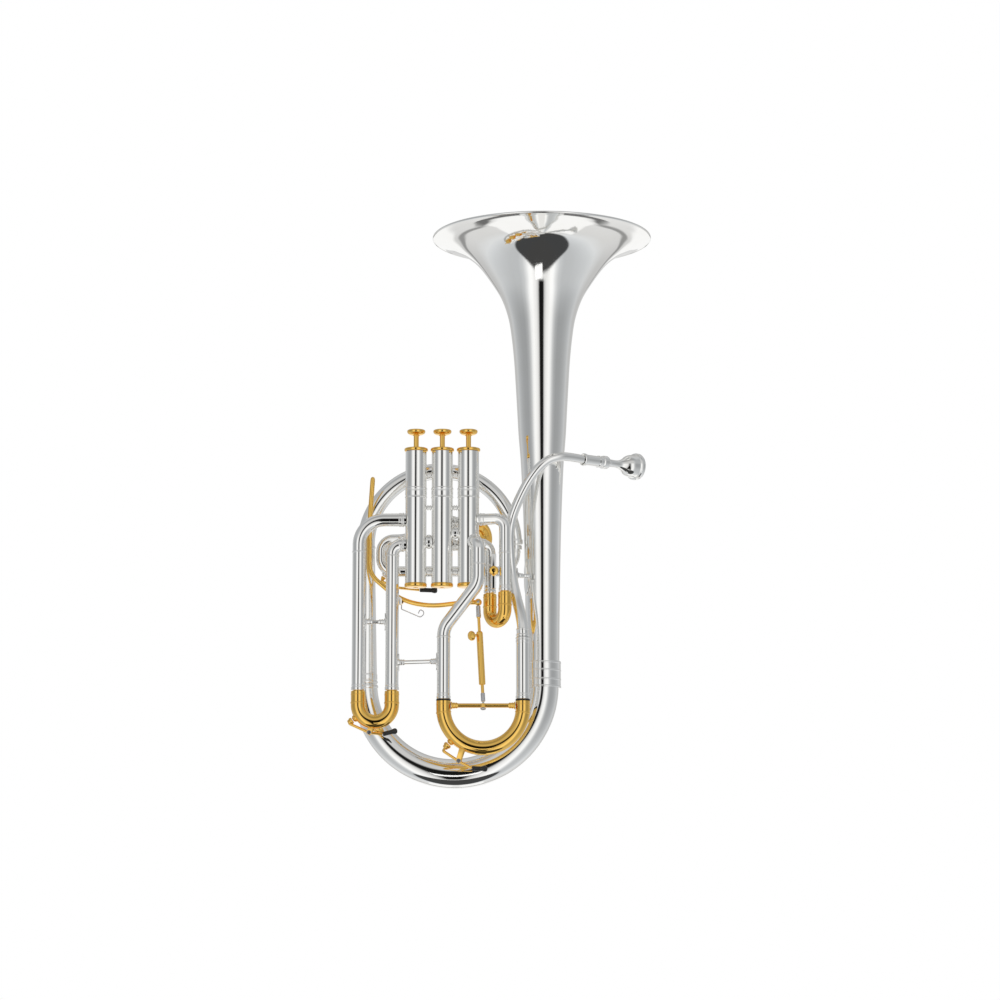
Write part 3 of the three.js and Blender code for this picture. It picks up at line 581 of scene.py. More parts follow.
def makeSlide(name, values):
    (ax, ay), (bx, by) = values["front"], values["back"]
    half = math.hypot(bx - ax, by - ay) / 2
    low, top = values["bowTop"] - half, values["legTop"]
    corners = [(ax, ay, top), (ax, ay, low, half), (bx, by, low, half), (bx, by, top)]
    total = pathLength(roundedPath(corners))
    shoulder = top - values["end"] + values["gap"]
    ring, band = top - values["ring"], shoulder + 3.4
    rings = [("bead", at, 1.6, 0.45) for at in (ring, -ring)] + [("band", at, 1.0, 0.25) for at in (band, -band)]
    outline = slideOutline(total, shoulder, values["leg"], values["r"])
    return tubeCurve(name, corners, outline, rings, 9, 3)


def makeFirstSlide():
    values = slides["first"]
    makeSleeve("first_sleeve_front", "firstFront", values["front"], 9, values["end"], 5.2, [-35])
    makeSleeve("first_sleeve_back", "firstBack", values["back"], 8, values["end"], 5.2, [-45])
    finishPiece(makeSlide("first_slide", values), "gold", "first_slide", "first_slide")


def makeThirdSlide():
    values = slides["third"]
    makeSleeve("third_sleeve_left", "thirdUpper", values["front"], 23, values["end"], 6, [-33.3])
    makeSleeve("third_sleeve_right", "thirdLower", values["back"], 9, values["end"], 6, [-37])
    tube = makeSlide("third_slide_tube", values)
    saddle = keySaddle("third_slide_saddle", waterKeys["third"])
    finishPiece(joinPieces("third_slide", [tube, *saddle]), "gold", "third_slide", "third_slide")


def makeSecondSlide():
    values = slides["second"]
    start, end, bend = values["legStart"], values["end"], values["bend"]
    for name, port in (("second_sleeve_upper", "secondUpper"), ("second_sleeve_lower", "secondLower")):
        rings = [*collar, ("band", -1.6, 3, 0.4)]
        piece = tubeCurve(name, [portPoint(port, wallReach), portPoint(port, end)], 5.2, rings)
        fixedSilver(piece, name)
    outer = values["reach"] + bend
    corners = [portPoint("secondUpper", start), (*portPoint("secondUpper", outer), bend),
               (*portPoint("secondLower", outer), bend), portPoint("secondLower", start)]
    shoulder = end - start + 0.3
    outline = slideOutline(pathLength(roundedPath(corners)), shoulder, values["leg"], values["r"])
    rings = [("bead", shoulder + 4, 1.5, 0.4), ("bead", -(shoulder + 4), 1.5, 0.4)]
    finishPiece(tubeCurve("second_slide", corners, outline, rings, 8), "gold", "second_slide", "second_slide")


def makeMainSlide():
    values = slides["main"]
    x, y = values["front"]
    elbow = portPoint("mainIn", 18.94)
    corners = [portPoint("mainIn", wallReach), (*elbow, 8.8), (*elbow[:2], -64, 20), (x, y, -105, 20),
               (x, y, values["end"])]
    rings = [("bead", 2.2, 1.6, 0.8), ("bead", 28, 1.5, 0.45), ("bead", -56.4, 1.6, 0.5), *sleeveEnd]
    fixedSilver(tubeCurve("main_sleeve_left", corners, 6, rings, 9, 3), "main_sleeve_left")
    x, y = values["back"]
    rings = [("bead", 1.2, 1.8, 0.6), ("band", 4, 2.4, 0.35), *sleeveEnd]
    piece = tubeCurve("main_sleeve_right", [(x, y, -113), (x, y, values["end"])], 6, rings, 9)
    fixedSilver(piece, "main_sleeve_right")
    for side, (x, y) in (("left", values["front"]), ("right", values["back"])):
        low = values["end"] - 1.2
        high = low + 0.9
        profile = [(4.8, low), (6.75, low), (6.75, high), (4.8, high), (4.8, low)]
        finishPiece(turnProfile(f"main_bumper_{side}", profile, placeOn((x, y, 0)), 40, 0.1), "rubber", "main_slide")
    tube = makeSlide("main_slide_tube", values)
    saddle = keySaddle("main_slide_saddle", waterKeys["main"])
    finishPiece(joinPieces("main_slide", [tube, *saddle]), "gold", "main_slide", "main_slide")


# Water keys: a cup on a nipple, a flat lever over a saddle and a black sleeve for the finger.

waterKeys = {
    # a bow's centre and radius, its tube, the angles of the cup and the saddle round it, then the lever's points
    "third": {"centre": (-60.45, 0, -173.6), "bow": 15.25, "tube": 6.6, "cup": 214, "saddle": 262, "cupSize": 0.85,
              "elbow": (-84.7, 0, -189.9), "pivot": (-65.5, 0, -198.6), "wrist": (-53.4, 0, -200),
              "tip": (-40, 0, -196.6), "body": "third_key", "on": "third_slide"},
    "main": {"centre": (37.7, -12, -177.8), "bow": 35.8, "tube": 6.6, "cup": 226, "saddle": 243, "cupSize": 0.95,
             "elbow": (1.6, -12, -216.2), "pivot": (15.6, -12, -225.4), "wrist": (27.4, -12, -231.8),
             "tip": (41.7, -12, -232.4), "body": "main_key", "on": "main_slide"},
    "back": {"centre": (-44, 21.5, -36.4), "bow": 12, "tube": 5, "cup": 240, "saddle": 272, "cupSize": 0.6,
             "elbow": (-56, 21.5, -57.2), "pivot": (-43.5, 21.5, -63), "wrist": (-21, 21.5, -65.2),
             "tip": (-4.6, 21.5, -65.8), "body": "back_key", "on": "root"},
}


def beyondBow(key, angle, distance):
    x, y, z = key["centre"]
    reach, turn = key["bow"] + key["tube"] + distance, math.radians(angle)
    return Vector((x + reach * math.cos(turn), y, z + reach * math.sin(turn)))


def cupOutward(key):
    return (beyondBow(key, key["cup"], 1) - beyondBow(key, key["cup"], 0)).normalized()


def keySaddle(name, key):
    # the nipple under the cup and the two cheeks that hold the lever
    profile = [(0, -1), (3.0, -1), (3.3, 0.2), (3.2, 0.8), (2.7, 1.3), (2.1, 1.5), (2.1, 2.1), (0, 2.1)]
    place = placeOn(beyondBow(key, key["cup"], 0), cupOutward(key))
    parts = [turnProfile(name + "_nipple", profile, place, 24, 0.1)]
    foot = beyondBow(key, key["saddle"], -1.2)
    drop = Vector(key["pivot"]) - foot
    height = drop.length
    drop.normalize()
    across = drop.cross(sideways)
    outline = [(-2.9, 0), (2.9, 0), (2.7, height * 0.5), (2.6, height), (1.6, height + 2.0), (-1.6, height + 2.0),
               (-2.6, height), (-2.7, height * 0.5)]
    turn = Matrix((across, drop, sideways * across.cross(drop).y)).transposed().to_4x4()
    lean = Matrix.Rotation(math.radians(12), 4, "Y")
    for side in (-1, 1):
        place = Matrix.Translation((foot + sideways * side * 2.75) * mm) @ turn @ lean
        parts.append(platePiece(name + "_cheek", outline, 0.8, place, 0.15))
    return parts


def makeKeyScrew(name, key):
    shank = [(0, -4.2), (1.7, -4.2), (2.1, -3.9), (2.1, -3.4), (1.1, -3.1), (1.1, 3.1), (1.6, 3.2), (1.6, 3.6),
             (1.2, 3.9), (0, 3.9)]
    screw = turnProfile(name + "_key_screw", shank, placeOn(key["pivot"], sideways), 20, 0.08)
    finishPiece(screw, "steel", key["on"])


def makeWaterKey(name, key):
    pivot, elbow, wrist, tip = (Vector(key[part]) for part in ("pivot", "elbow", "wrist", "tip"))
    cupTop = beyondBow(key, key["cup"], 2.5)
    outward, size = cupOutward(key), key["cupSize"]
    knob = [(0, 0.3), (2.3, 0.3), (2.4, 0), (3.1, 0.1), (3.6, 0.8), (3.7, 1.8), (3.4, 2.8), (2.8, 3.3), (2.7, 3.7),
            (2.9, 4.2), (2.5, 5.0), (1.5, 5.6), (0, 5.8)]
    cup = turnProfile(name + "_cup", [(r * size, h * size) for r, h in knob], placeOn(cupTop, outward), 28, 0.1)
    corners = [cupTop + outward * 3.4 * size, (*elbow, 1.2), (*pivot, 6), wrist]
    bar = tubeCurve(name + "_bar", corners, [(0, 1.2), (4, 1.3), (100, 1.2)], (), 5)
    # the lever is flat: wider across the tube than it is deep
    for vertex in bar.data.vertices:
        vertex.co.y = pivot.y * mm + (vertex.co.y - pivot.y * mm) * 1.7
    disc = [(0, -2.1), (2.1, -2.1), (2.1, 2.1), (0, 2.1)]
    boss = turnProfile(name + "_boss", disc, placeOn(pivot, sideways), 24, 0.2)
    finishPiece(joinPieces(name + "_water_key", [cup, bar, boss]), "gold", key["body"], name + "_water_key")
    start = wrist.lerp(tip, 0.3 / (tip - wrist).length)
    reach = (tip - start).length
    outline = [(0, 1.7), (0.3, 1.95), (1.0, 2.05), (reach - 5.5, 2.0), (reach - 4.6, 2.15), (reach - 3.2, 2.55),
               (reach - 1.8, 2.6), (reach - 0.8, 2.2), (reach - 0.25, 1.5), (reach, 0.6)]
    grip = tubeCurve(name + "_key_grip", [start, tip], outline, (), 6)
    finishPiece(grip, "rubber", key["body"], name + "_key_grip")


# The pipe from the third valve back into the loop, and the leadpipe.

def makeExitPipe():
    right = bow["left"] + 2 * branch["loopRadius"]
    first = portPoint("exit", 22.5)
    corners = [portPoint("exit", wallReach), (*first, 8), (-56, 21.5, -19, 11), (-56, 21.5, -48.4, 12),
               (30, 21.5, -48.4, 40), (right, bellPlane, -48.4, 18), (right, bellPlane, branch["loopZ"] - 0.3)]
    rings = [("bead", 2.4, 1.5, 0.7), ("band", -2.4, 4, 1.6), ("bead", -6.4, 1.4, 0.5)]
    tube = tubeCurve("exit_tube", corners, 5, rings, 8)
    fixedSilver(joinPieces("exit_pipe", [tube, *keySaddle("exit_saddle", waterKeys["back"])]), "exit_pipe")


mouthTurn = math.radians(38)
mouthAxis = Vector((math.cos(mouthTurn), math.sin(mouthTurn), 0))
receiverStart = Vector((129, 8, 54))


leadpipe = {
    "way": [(122.8, 3.2, 54.3), (115.4, -2.0, 54.45), (108, -6, 54), (98, -8.4, 50.9), (88, -8.8, 43),
            (78, -6.6, 29.5), (69, -2.8, 12), (63.9, 1, -1.5), (61.7, 4.2, -15.5), (62, 5, -33.5), (64, 4.2, -56.5),
            (67.6, 0, -75), (71.4, -7, -91), (73.4, -11.6, -104), (73.5, -12, -112.2)],
    "taper": [(0, 4.0), (0.3, 4.2), (0.7, 4.9), (1, 5.2)],  # share of the length, radius
}


def makeLeadpipe():
    points = [receiverStart - mouthAxis * 0.4, *leadpipe["way"]]
    path = smoothed(points, 6)
    stations = [(Vector(spot), mixRadius(leadpipe["taper"], i / (len(path) - 1))) for i, spot in enumerate(path)]
    fixedSilver(curveThrough("leadpipe", stations), "leadpipe")
    end = Vector(points[-1])
    corners = [end + Vector((-0.1, 0.3, 7)), end - upright * 0.6]
    ferrule = tubeCurve("leadpipe_ferrule", corners, 5.6, [("bead", 1, 1.6, 0.4), ("bead", -1.4, 1.8, 0.6)], 8)
    fixedSilver(ferrule)


def makeReceiver():
    profile = [(3.6, 0), (5.0, 0), (5.7, 0.5), (5.8, 1.6), (5.7, 2.7), (5.05, 3.3), (4.95, 5.5), (4.95, 17.5),
               (5.5, 18.0), (5.6, 18.6), (5.5, 19.2), (4.95, 19.7), (4.95, 22.4), (5.9, 23.2), (6.15, 24.4),
               (6.15, 27.6), (5.8, 28.5), (5.3, 29), (4.75, 29), (3.6, 8), (3.6, 0)]
    piece = turnProfile("mouthpiece_receiver", profile, placeOn(receiverStart, mouthAxis), 48, 0.06)
    fixedSilver(piece, "mouthpiece_receiver")


def makeMouthpiece():
    outer = [(4.3, 30), (3.7, 32.5), (3.45, 37), (3.6, 41), (4.6, 45), (6.6, 48.8), (8.9, 52), (10.1, 55),
             (10.6, 58.5), (11.0, 60.8)]
    rim = [(12.2, 61.6), (12.55, 62.6), (12.5, 65.0), (12.0, 66.0), (11.2, 66.5), (10.2, 66.55), (9.4, 66.1),
           (8.9, 65.0)]
    cup = [(8.4, 61), (7.6, 56.5), (5.6, 52), (3.2, 48.5), (1.8, 45), (1.6, 40), (2.0, 8)]
    profile = [(2.0, 8), (3.1, 8), *smoothed(outer, 4), *rim, *smoothed(cup[:-1], 3), cup[-1]]
    piece = turnProfile("mouthpiece", profile, placeOn(receiverStart, mouthAxis), 72)
    finishPiece(piece, "silver", "mouthpiece", "mouthpiece")


# Braces.

def beadedEnds(total, radius, bead):
    end = [(0, bead + 0.7), (0.9, bead + 0.7), (1.5, bead - 0.4), (2.2, bead), (3.0, bead + 0.1), (3.6, radius + 0.3),
           (4.4, bead - 0.1), (5.2, bead - 0.1), (6.2, radius)]
    return end + [(total - at, r) for at, r in reversed(end)]


def makeBrace(name, start, end, radius, bead, finish="silver", body="root"):
    start, end = Vector(start), Vector(end)
    outline = beadedEnds((end - start).length, radius, bead)
    finishPiece(tubeCurve(name, [start, end], outline, (), 6), finish, body, name)


def makeFlange(name, at, tubeRadius, facing, tall, wide, thickness=0.7):
    fixedSilver(saddlePlate(name, at, tubeRadius, facing, tall, wide, thickness))


braces = {"third": -97.7, "sleeves": -135, "bell": -54, "casings": ((7.6, 1.5), (-52.5, 1.5), (38, 1.4))}


def makeBraces():
    stand, sleeve = 6.2, 6  # a brace ends just off its sleeve
    third, main, flanges = slides["third"], slides["main"], []
    for name, flange, a, b, z, radius, bead in (
            ("third_slide_brace", "third_brace", third["front"], third["back"], braces["third"], 1.8, 2.5),
            ("sleeve_brace", "sleeve_brace", third["back"], main["front"], braces["sleeves"], 1.95, 2.8)):
        left, right = Vector((*a, z)), Vector((*b, z))
        along = (right - left).normalized()
        makeBrace(name, left + along * stand, right - along * stand, radius, bead)
        flanges += [(flange + "_flange_left", left, along), (flange + "_flange_right", right, -along)]
    for name, at, facing in flanges:
        makeFlange(name, at, sleeve, facing, 16, 7)
    z = braces["bell"]
    start, end = Vector((68.6, 6.4, z)), Vector((80.4, 12.1, z))
    makeBrace("bell_brace", start, end, 1.7, 2.3)
    facing = (start - end).normalized()
    makeFlange("bell_brace_flange", (*bell["axis"], z), 16.3, facing, 34, 13, 0.8)
    makeFlange("leadpipe_brace_flange", (63.9, 4.3, z), 4.75, -facing, 14, 5)
    rings = [("bead", 1.9, 1.2, 1.2), ("bead", -1.9, 1.2, 1.2), ("bead", 3, 1.0, 0.5)]
    for z, radius in braces["casings"]:
        for valve in (1, 2):
            a, b = valveX[valve + 1] + wallReach, valveX[valve] - wallReach
            piece = tubeCurve(f"casing_brace_{valve}_{int(z)}", [(a, 0, z), (b, 0, z)], radius, rings, 5)
            fixedSilver(piece)


# Trigger: lever, bracket, pivot, spring and the link down to the main slide's brace.

trigger = {
    "pivot": (-38.5, 11, -77), "ball": (33, 0, -79.6), "ballRadius": 3.3,
    "lever": [(-64, 11, 38), (-66.6, 11, -2, 200), (-66.8, 11, -52, 22), (-38.5, 11, -76.5, 60),
              (-10, 7.5, -82.5, 80), (20, 1.5, -79.5, 60)],  # the last bend lies before the ball
    "spring": [(-37, 7.1, -81), (-37, 6.6, -85, 0.9), (-19.5, 3.6, -93, 2.4), (-14.9, 3.6, -88.5, 2.6),
               (-20, 3.6, -85.6, 1.4), (-21.5, 3.6, -89.5)],
    "wire": 0.45,
}
link = {"top": (33, 0, -84.4), "foot": (37.7, -12, -175.2), "thumbScrew": (31.6, -5.7, -110.6),
        "thumbScrewAxis": (-6.6, -5.1, -1.4)}
lyre = {"socket": (47.2, -5.2, -52), "screw": (47.2, -5.9, -52)}


def makeTrigger():
    pivot = Vector(trigger["pivot"])
    corners = [*trigger["lever"], trigger["ball"]]
    total = pathLength(roundedPath(corners))
    outline = [(0, 0.9), (0.5, 1.5), (1.5, 2.0), (4, 2.2), (total - 3, 2.15), (total, 1.9)]
    bar = tubeCurve("trigger_bar", corners, outline, (), 6)
    eye = [(1.5, -2.3), (3.2, -2.3), (3.5, -2.0), (3.5, 2.0), (3.2, 2.3), (1.5, 2.3), (1.5, -2.3)]
    boss = turnProfile("trigger_boss", eye, placeOn(pivot, sideways), 32)
    r, turns = trigger["ballRadius"], [math.pi * i / 14 for i in range(15)]
    ball = turnProfile("trigger_ball", [(r * math.sin(t), -r * math.cos(t)) for t in turns],
                       placeOn(trigger["ball"]), 32)
    finishPiece(joinPieces("trigger_lever", [bar, boss, ball]), "gold", "trigger", "trigger_lever")
    cheek = [(-3.4, -3.4), (3.4, -3.4), (3.4, 1.6), (1.6, 3.4), (-3.4, 3.4)]
    plate = platePiece("bracket_plate", cheek, 1.9, placeOn((pivot.x - 1.5, 7.1, pivot.z), -sideways), 0.3)
    arm = platePiece("bracket_arm", [(-2, -3), (2, -3), (2, 3), (-2, 3)], 6.6, placeOn((-41, 4.6, pivot.z)), 0.3)
    fixedSilver(joinPieces("trigger_bracket", [plate, arm]), "trigger_bracket")
    screw = [(0, -4.4), (1.2, -4.4), (1.2, 2.7), (2.7, 2.7), (2.75, 3.7), (2.3, 4.3), (0.45, 4.4), (0.4, 3.9),
             (0, 3.9)]
    piece = turnProfile("trigger_pivot_screw", screw, placeOn(pivot, sideways), 28, 0.08)
    finishPiece(piece, "steel", "root", "trigger_pivot_screw")
    wire = tubeCurve("trigger_spring", trigger["spring"], trigger["wire"], (), 3)
    finishPiece(wire, "steel", "root", "trigger_spring")
    cap = [(0, 3.2), (1.25, 3.3), (1.3, 3.9), (0.9, 4.3), (0.3, 4.35), (0.28, 4.0), (0, 4.0)]
    finishPiece(turnProfile("trigger_ball_screw", cap, placeOn(trigger["ball"], -sideways), 20), "steel", "trigger")


def makeLink():
    top, pin = Vector(link["top"]), Vector(link["foot"])
    foot = pin + upright * 3.8
    total = (foot - top).length
    a, b = total * 0.27, total * 0.82  # the thick barrel between them
    outline = [(0, 1.9), (a - 14, 1.9), (a - 13.6, 1.35), (a - 1, 1.35), (a - 0.9, 2.3), (a, 2.9), (a + 0.6, 3.0),
               (b - 0.6, 3.0), (b, 2.9), (b + 0.5, 2.2), (b + 0.6, 1.45), (total - 7, 1.45), (total - 6.8, 1.8),
               (total, 1.8)]
    finishPiece(tubeCurve("link_body", [top, foot], outline, (), 6), "gold", "link", "link_rod")
    corners = [top + upright * 1.1, top.lerp(foot, 0.105)]
    finishPiece(tubeCurve("link_top_end", corners, 2.05, [("bead", 8.4, 1, 0.2)], 5), "steel", "link")
    corners = [top.lerp(foot, 0.915), foot]
    finishPiece(tubeCurve("link_foot_end", corners, 1.95, (), 5), "steel", "link")
    knob = [(0, 0), (1.2, 0), (1.2, 3.4), (2.0, 3.6), (3.4, 3.9), (4.2, 4.5), (4.5, 5.4), (4.4, 6.4), (3.8, 7.3),
            (2.6, 8.0), (1.2, 8.35), (0, 8.4)]
    piece = turnProfile("link_thumb_screw", knob, placeOn(link["thumbScrew"], link["thumbScrewAxis"]), 32)
    finishPiece(piece, "gold", "link_thumb_screw", "link_thumb_screw")
    screw = [(0, -4.3), (1.2, -4.2), (2.1, -3.7), (2.55, -3.0), (2.55, -2.4), (1.05, -2.35), (1.05, 3.3), (0, 3.3)]
    finishPiece(turnProfile("link_foot_screw", screw, placeOn(pin), 28), "steel", "link", "link_foot_screw")
    left, right, stand = slides["main"]["front"][0], slides["main"]["back"][0], 6.8
    makeBrace("main_slide_brace", (left + stand, pin.y, pin.z), (right - stand, pin.y, pin.z), 2.0, 2.8, "gold",
              "main_slide")
    eye = [(1.5, -1.8), (2.9, -1.8), (2.9, 1.8), (1.5, 1.8), (1.5, -1.8)]
    finishPiece(turnProfile("main_brace_eye", eye, placeOn(pin), 28, 0.2), "gold", "main_slide")


def makeLyre():
    outline = [(-2.2, -2.5), (2.2, -2.5), (2.2, 2.5), (-2.2, 2.5)]
    box = platePiece("lyre_box", outline, 32, placeOn(lyre["socket"]), 0.5)
    fixedSilver(box, "lyre_socket")
    knob = [(0, 0), (1.25, 0), (1.25, 2.4), (2.6, 2.8), (3.7, 3.6), (4.35, 4.8), (4.2, 5.9), (3.4, 6.8), (1.9, 7.3),
            (0, 7.4)]
    piece = turnProfile("lyre_screw", knob, placeOn(lyre["screw"], -sideways), 32)
    finishPiece(piece, "gold", "lyre_screw", "lyre_screw")


def refinishFrame():
    # the valve springs are the frame's own solids, and only take a finish
    for n in (1, 2, 3):
        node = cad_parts[f"valve_spring_{n}"]
        node.data.materials.clear()
        node.data.materials.append(materials["steel"])


print("bell and bows")
makeBell()
makeBellFerrule()
makeBottomBow()
makeBranch()
makeExitPipe()
print("valves")
for valve in (1, 2, 3):
    makeCasing(valve)
    makeCaps(valve)
    makePiston(valve)
makeKnuckles()
print("slides")
makeFirstSlide()
makeSecondSlide()
makeThirdSlide()
makeMainSlide()
for name, key in waterKeys.items():
    makeWaterKey(name, key)
for name, key in waterKeys.items():
    makeKeyScrew(name, key)
print("leadpipe and mouthpiece")
makeLeadpipe()
makeReceiver()
makeMouthpiece()
print("braces, trigger and lyre socket")
makeBraces()
makeTrigger()
makeLink()
makeLyre()
refinishFrame()


# Studio: a white room with a dark slot ahead of the horn, a pale floor and the camera.

studio = {
    # brightness round the horizon: share of a half turn from the slot, level
    "horizon": [(0.0, 0.008), (0.032, 0.012), (0.044, 0.30), (0.058, 0.62), (0.095, 0.86), (0.160, 0.99),
                (0.200, 0.90), (0.245, 0.60), (0.29, 0.43), (0.35, 0.35), (0.45, 0.36), (0.54, 0.41),
                (0.62, 0.48), (0.70, 0.58), (0.79, 0.52), (0.88, 0.55), (0.95, 0.65), (1.0, 0.75)],
    "slotTurn": 0.047, "slotFoot": 0.85, "slotFootRise": (-0.80, -0.74), "slotFootWidth": (0.10, 0.2),
    "lowLift": 0.18, "lowRise": (-0.75, 0.0), "lowTurn": (0.35, 0.8), "coolSides": 0.03, "coolTurn": (0.75, 2.3),
    "above": 0.60, "aboveSide": 0.44, "aboveRise": (0.20, 0.42), "aboveTurn": (0.6, 1.2),
    "ceilingFront": 0.34, "ceilingBack": 0.56, "ceilingRise": (0.62, 0.9), "ceilingDepth": (-0.3, 0.2),
    "directRays": 2.5,  # a mirrored background is at depth 2, and a mirror of a mirror at 3
    # shapes on the floor are measured in shares of the drop to it
    "darkPatch": 0.055, "darkPatchSize": (0.55, 0.47), "darkPatchAhead": 0.27,
    "paper": 0.97, "paperAlong": (-0.88, -0.27), "paperAcross": (0.05, 0.32),
    "edge": 0.15, "edgeAlong": (-1.12, -0.93), "edgeAcross": (0.30, 0.42),
    # the lamp behind: level, half width, rise, and the same for its darker border
    "lamp": 0.97, "lampAcross": (0.28, 0.34), "lampRise": (1.6, 2.2),
    "border": 0.3, "borderAcross": (0.37, 0.44), "borderRise": (0.8, 1.0),
    "card": (0.1, -0.5, -0.49, -0.38), "cardGlow": 0.4,  # half width, place ahead, low, high
    "floorZ": -0.95, "floorSize": 40,
}
softTop = {"size": 2.4, "energy": 120, "at": (0.3, -0.5, 2.3)}
camera = {"distance": 3.0, "pitch": 9.5, "target": (0.0529, 0.0, 0.01484), "lens": 117.97, "sensor": 36}


def makeWorld():
    world = bpy.data.worlds.new("studio")
    bpy.context.scene.world = world
    world.use_nodes = True
    nodes, links = world.node_tree.nodes, world.node_tree.links
    nodes.clear()

    def feed(socket, value):
        if isinstance(value, (int, float)):
            socket.default_value = value
        else:
            links.new(value, socket)

    def combine(operation, *values):
        node = nodes.new("ShaderNodeMath")
        node.operation = operation
        for socket, value in zip(node.inputs, values):
            feed(socket, value)
        return node.outputs[0]

    def times(a, b):
        return combine("MULTIPLY", a, b)

    def stepUp(value, low, high):
        node = addNode(nodes, "ShaderNodeMapRange", {"From Min": low, "From Max": high})
        node.interpolation_type = "SMOOTHSTEP"
        links.new(value, node.inputs["Value"])
        return node.outputs["Result"]

    def stepDown(value, low, high):
        return combine("SUBTRACT", 1.0, stepUp(value, low, high))

    def between(value, low, high, soft):
        return times(stepUp(value, low - soft, low + soft), stepDown(value, high - soft, high + soft))

    def blendLevel(amount, a, b):
        node = nodes.new("ShaderNodeMix")
        links.new(amount, node.inputs["Factor"])
        feed(node.inputs["A"], a)
        feed(node.inputs["B"], b)
        return node.outputs["Result"]

    place = nodes.new("ShaderNodeTexCoord")
    split = nodes.new("ShaderNodeSeparateXYZ")
    links.new(place.outputs["Generated"], split.inputs[0])
    x, y, z = split.outputs
    ahead = times(y, -1.0)
    turn = combine("ABSOLUTE", combine("ADD", combine("ARCTAN2", x, ahead), studio["slotTurn"]))
    ramp = nodes.new("ShaderNodeValToRGB")
    stops = studio["horizon"]
    while len(ramp.color_ramp.elements) < len(stops):
        ramp.color_ramp.elements.new(1.0)
    for element, (at, level) in zip(ramp.color_ramp.elements, stops):
        element.position = at
        element.color = (level, level, level, 1)
    links.new(combine("DIVIDE", turn, math.pi), ramp.inputs["Fac"])
    separate = nodes.new("ShaderNodeSeparateColor")
    links.new(ramp.outputs["Color"], separate.inputs[0])
    level = separate.outputs[0]
    wide = combine("ABSOLUTE", x)
    down = combine("MAXIMUM", times(z, -1.0), 0.001)
    # the walls get lighter towards the floor, and the slot ends where the front of the floor is bright
    lower = times(stepDown(z, *studio["lowRise"]), studio["lowLift"])
    level = combine("ADD", level, times(lower, stepUp(turn, *studio["lowTurn"])))
    foot = times(stepDown(z, *studio["slotFootRise"]), stepDown(wide, *studio["slotFootWidth"]))
    level = blendLevel(foot, level, studio["slotFoot"])
    # the upper walls are a little darker at the sides, and the ceiling is darkest ahead
    upper = blendLevel(stepUp(turn, *studio["aboveTurn"]), studio["above"], studio["aboveSide"])
    level = blendLevel(stepUp(z, *studio["aboveRise"]), level, upper)
    ceiling = blendLevel(stepUp(y, *studio["ceilingDepth"]), studio["ceilingFront"], studio["ceilingBack"])
    level = blendLevel(stepUp(z, *studio["ceilingRise"]), level, ceiling)
    # what lies on the floor shows only in what the horn mirrors directly, not in mirrors of mirrors
    along, across = combine("DIVIDE", ahead, down), combine("DIVIDE", wide, down)
    rays = nodes.new("ShaderNodeLightPath")
    below = times(combine("LESS_THAN", z, -0.2), combine("LESS_THAN", rays.outputs["Ray Depth"], studio["directRays"]))
    # a dark round patch on the floor a little ahead of the horn
    patchWide, patchLong = studio["darkPatchSize"]
    acrossPatch = combine("POWER", combine("DIVIDE", across, patchWide), 2.0)
    alongPatch = combine("POWER", combine("DIVIDE", combine("SUBTRACT", along, studio["darkPatchAhead"]), patchLong), 2.0)
    darkPatch = stepDown(combine("ADD", acrossPatch, alongPatch), 0.90, 1.12)
    level = blendLevel(times(darkPatch, below), level, studio["darkPatch"])
    # two sheets of white paper behind, with a dark edge beyond them
    paper = times(between(along, *studio["paperAlong"], 0.03), between(across, *studio["paperAcross"], 0.015))
    level = blendLevel(times(paper, below), level, studio["paper"])
    edge = times(between(along, *studio["edgeAlong"], 0.03), stepDown(across, *studio["edgeAcross"]))
    level = blendLevel(times(edge, below), level, studio["edge"])
    # a bright lamp low behind, with a darker border
    behind = combine("MAXIMUM", y, 0.001)
    lowBehind = times(combine("LESS_THAN", z, 0.02), combine("GREATER_THAN", y, 0.05))
    spread, rise = combine("DIVIDE", wide, behind), combine("DIVIDE", behind, down)
    lamp = times(stepDown(spread, *studio["lampAcross"]), stepUp(rise, *studio["lampRise"]))
    level = blendLevel(times(lamp, lowBehind), level, studio["lamp"])
    border = times(between(spread, *studio["borderAcross"], 0.02), stepUp(rise, *studio["borderRise"]))
    level = blendLevel(times(border, lowBehind), level, studio["border"])
    # the walls at the sides are slightly cool, and the camera itself sees plain white
    paint = nodes.new("ShaderNodeCombineColor")
    cool = times(between(turn, *studio["coolTurn"], 0.35), studio["coolSides"])
    links.new(times(level, combine("SUBTRACT", 1.0, cool)), paint.inputs[0])
    links.new(level, paint.inputs[1])
    links.new(times(level, combine("ADD", 1.0, cool)), paint.inputs[2])
    seen = nodes.new("ShaderNodeMix")
    seen.data_type = "RGBA"
    seen.inputs["B"].default_value = (1, 1, 1, 1)
    links.new(rays.outputs["Is Camera Ray"], seen.inputs["Factor"])
    links.new(paint.outputs[0], seen.inputs["A"])
    background = nodes.new("ShaderNodeBackground")
    links.new(seen.outputs["Result"], background.inputs["Color"])
    output = nodes.new("ShaderNodeOutputWorld")
    links.new(background.outputs[0], output.inputs["Surface"])


def makeSheet(name, corners, color):
    # one flat face in its own material
    mesh = bpy.data.meshes.new(name)
    mesh.from_pydata(corners, [], [(0, 1, 2, 3)])
    material, _, _, shader = newMaterial(name)
    shader.inputs["Base Color"].default_value = (*color, 1)
    mesh.materials.append(material)
    return addObject(name, mesh), shader


def makeFloor():
    half, z = studio["floorSize"] / 2, studio["floorZ"]
    corners = [(-half, -half, z), (half, -half, z), (half, half, z), (-half, half, z)]
    floor, shader = makeSheet("floor", corners, (0.94, 0.94, 0.935))
    shader.inputs["Roughness"].default_value = 0.9
    floor.visible_glossy = False


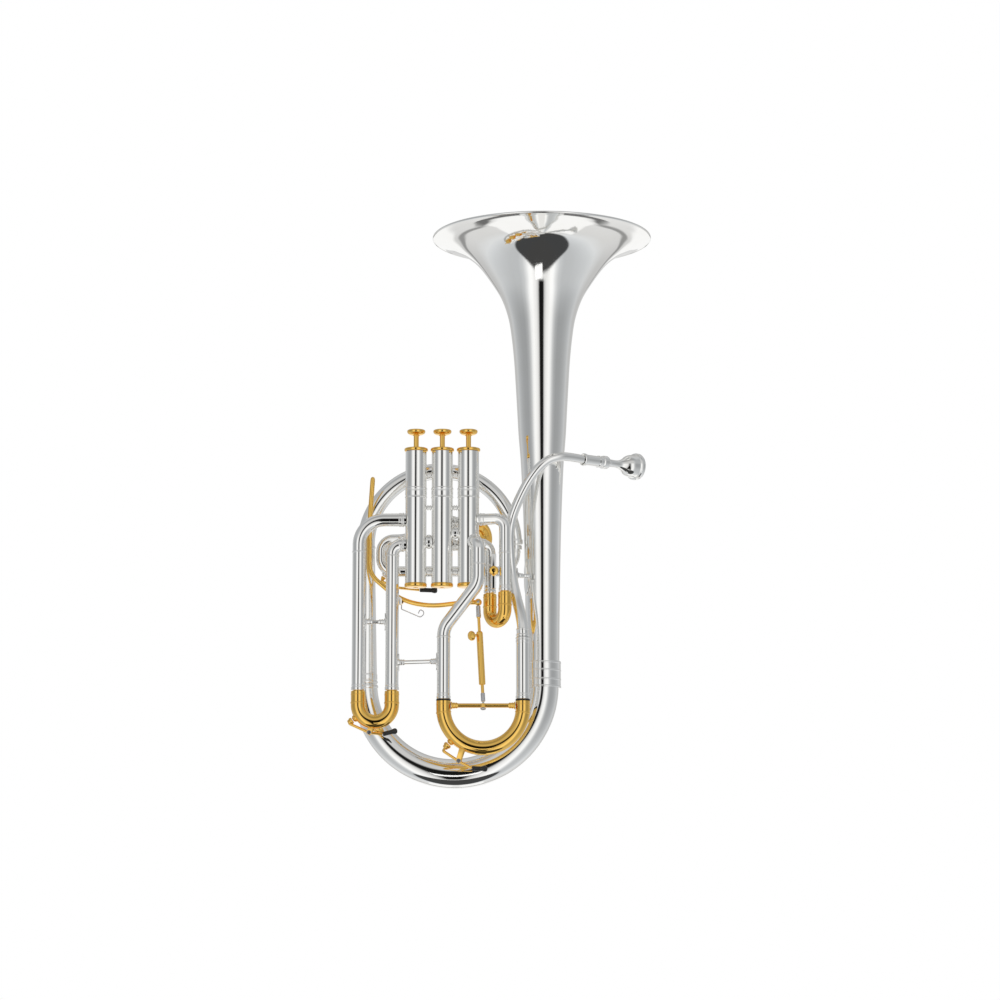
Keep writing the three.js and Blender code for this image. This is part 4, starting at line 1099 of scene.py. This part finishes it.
def makeCard():
    # a white card low in front keeps the dark slot out of the bows
    half, y, low, high = studio["card"]
    corners = [(-half, y, low), (half, y, low), (half, y, high), (-half, y, high)]
    card, shader = makeSheet("card", corners, (0.8, 0.8, 0.8))
    shader.inputs["Emission Color"].default_value = (1, 1, 1, 1)
    shader.inputs["Emission Strength"].default_value = studio["cardGlow"]
    card.visible_camera = False
    card.visible_shadow = False
    card.visible_diffuse = False


def makeLight():
    data = bpy.data.lights.new("soft_top", "AREA")
    data.shape = "DISK"
    data.size = softTop["size"]
    data.energy = softTop["energy"]
    lamp = addObject("soft_top", data)
    lamp.location = softTop["at"]
    lamp.visible_glossy = False


def makeCamera():
    pitch = math.radians(camera["pitch"])
    forward = Vector((0, math.cos(pitch), math.sin(pitch)))
    data = bpy.data.cameras.new("camera")
    data.lens = camera["lens"]
    data.sensor_width = camera["sensor"]
    data.clip_end = 50
    eye = addObject("camera", data)
    eye.location = Vector(camera["target"]) - forward * camera["distance"]
    eye.rotation_euler = forward.to_track_quat("-Z", "Y").to_euler()
    bpy.context.scene.camera = eye


print("studio")
makeWorld()
makeFloor()
makeCard()
makeLight()
makeCamera()
bpy.context.scene.view_settings.view_transform = "Standard"
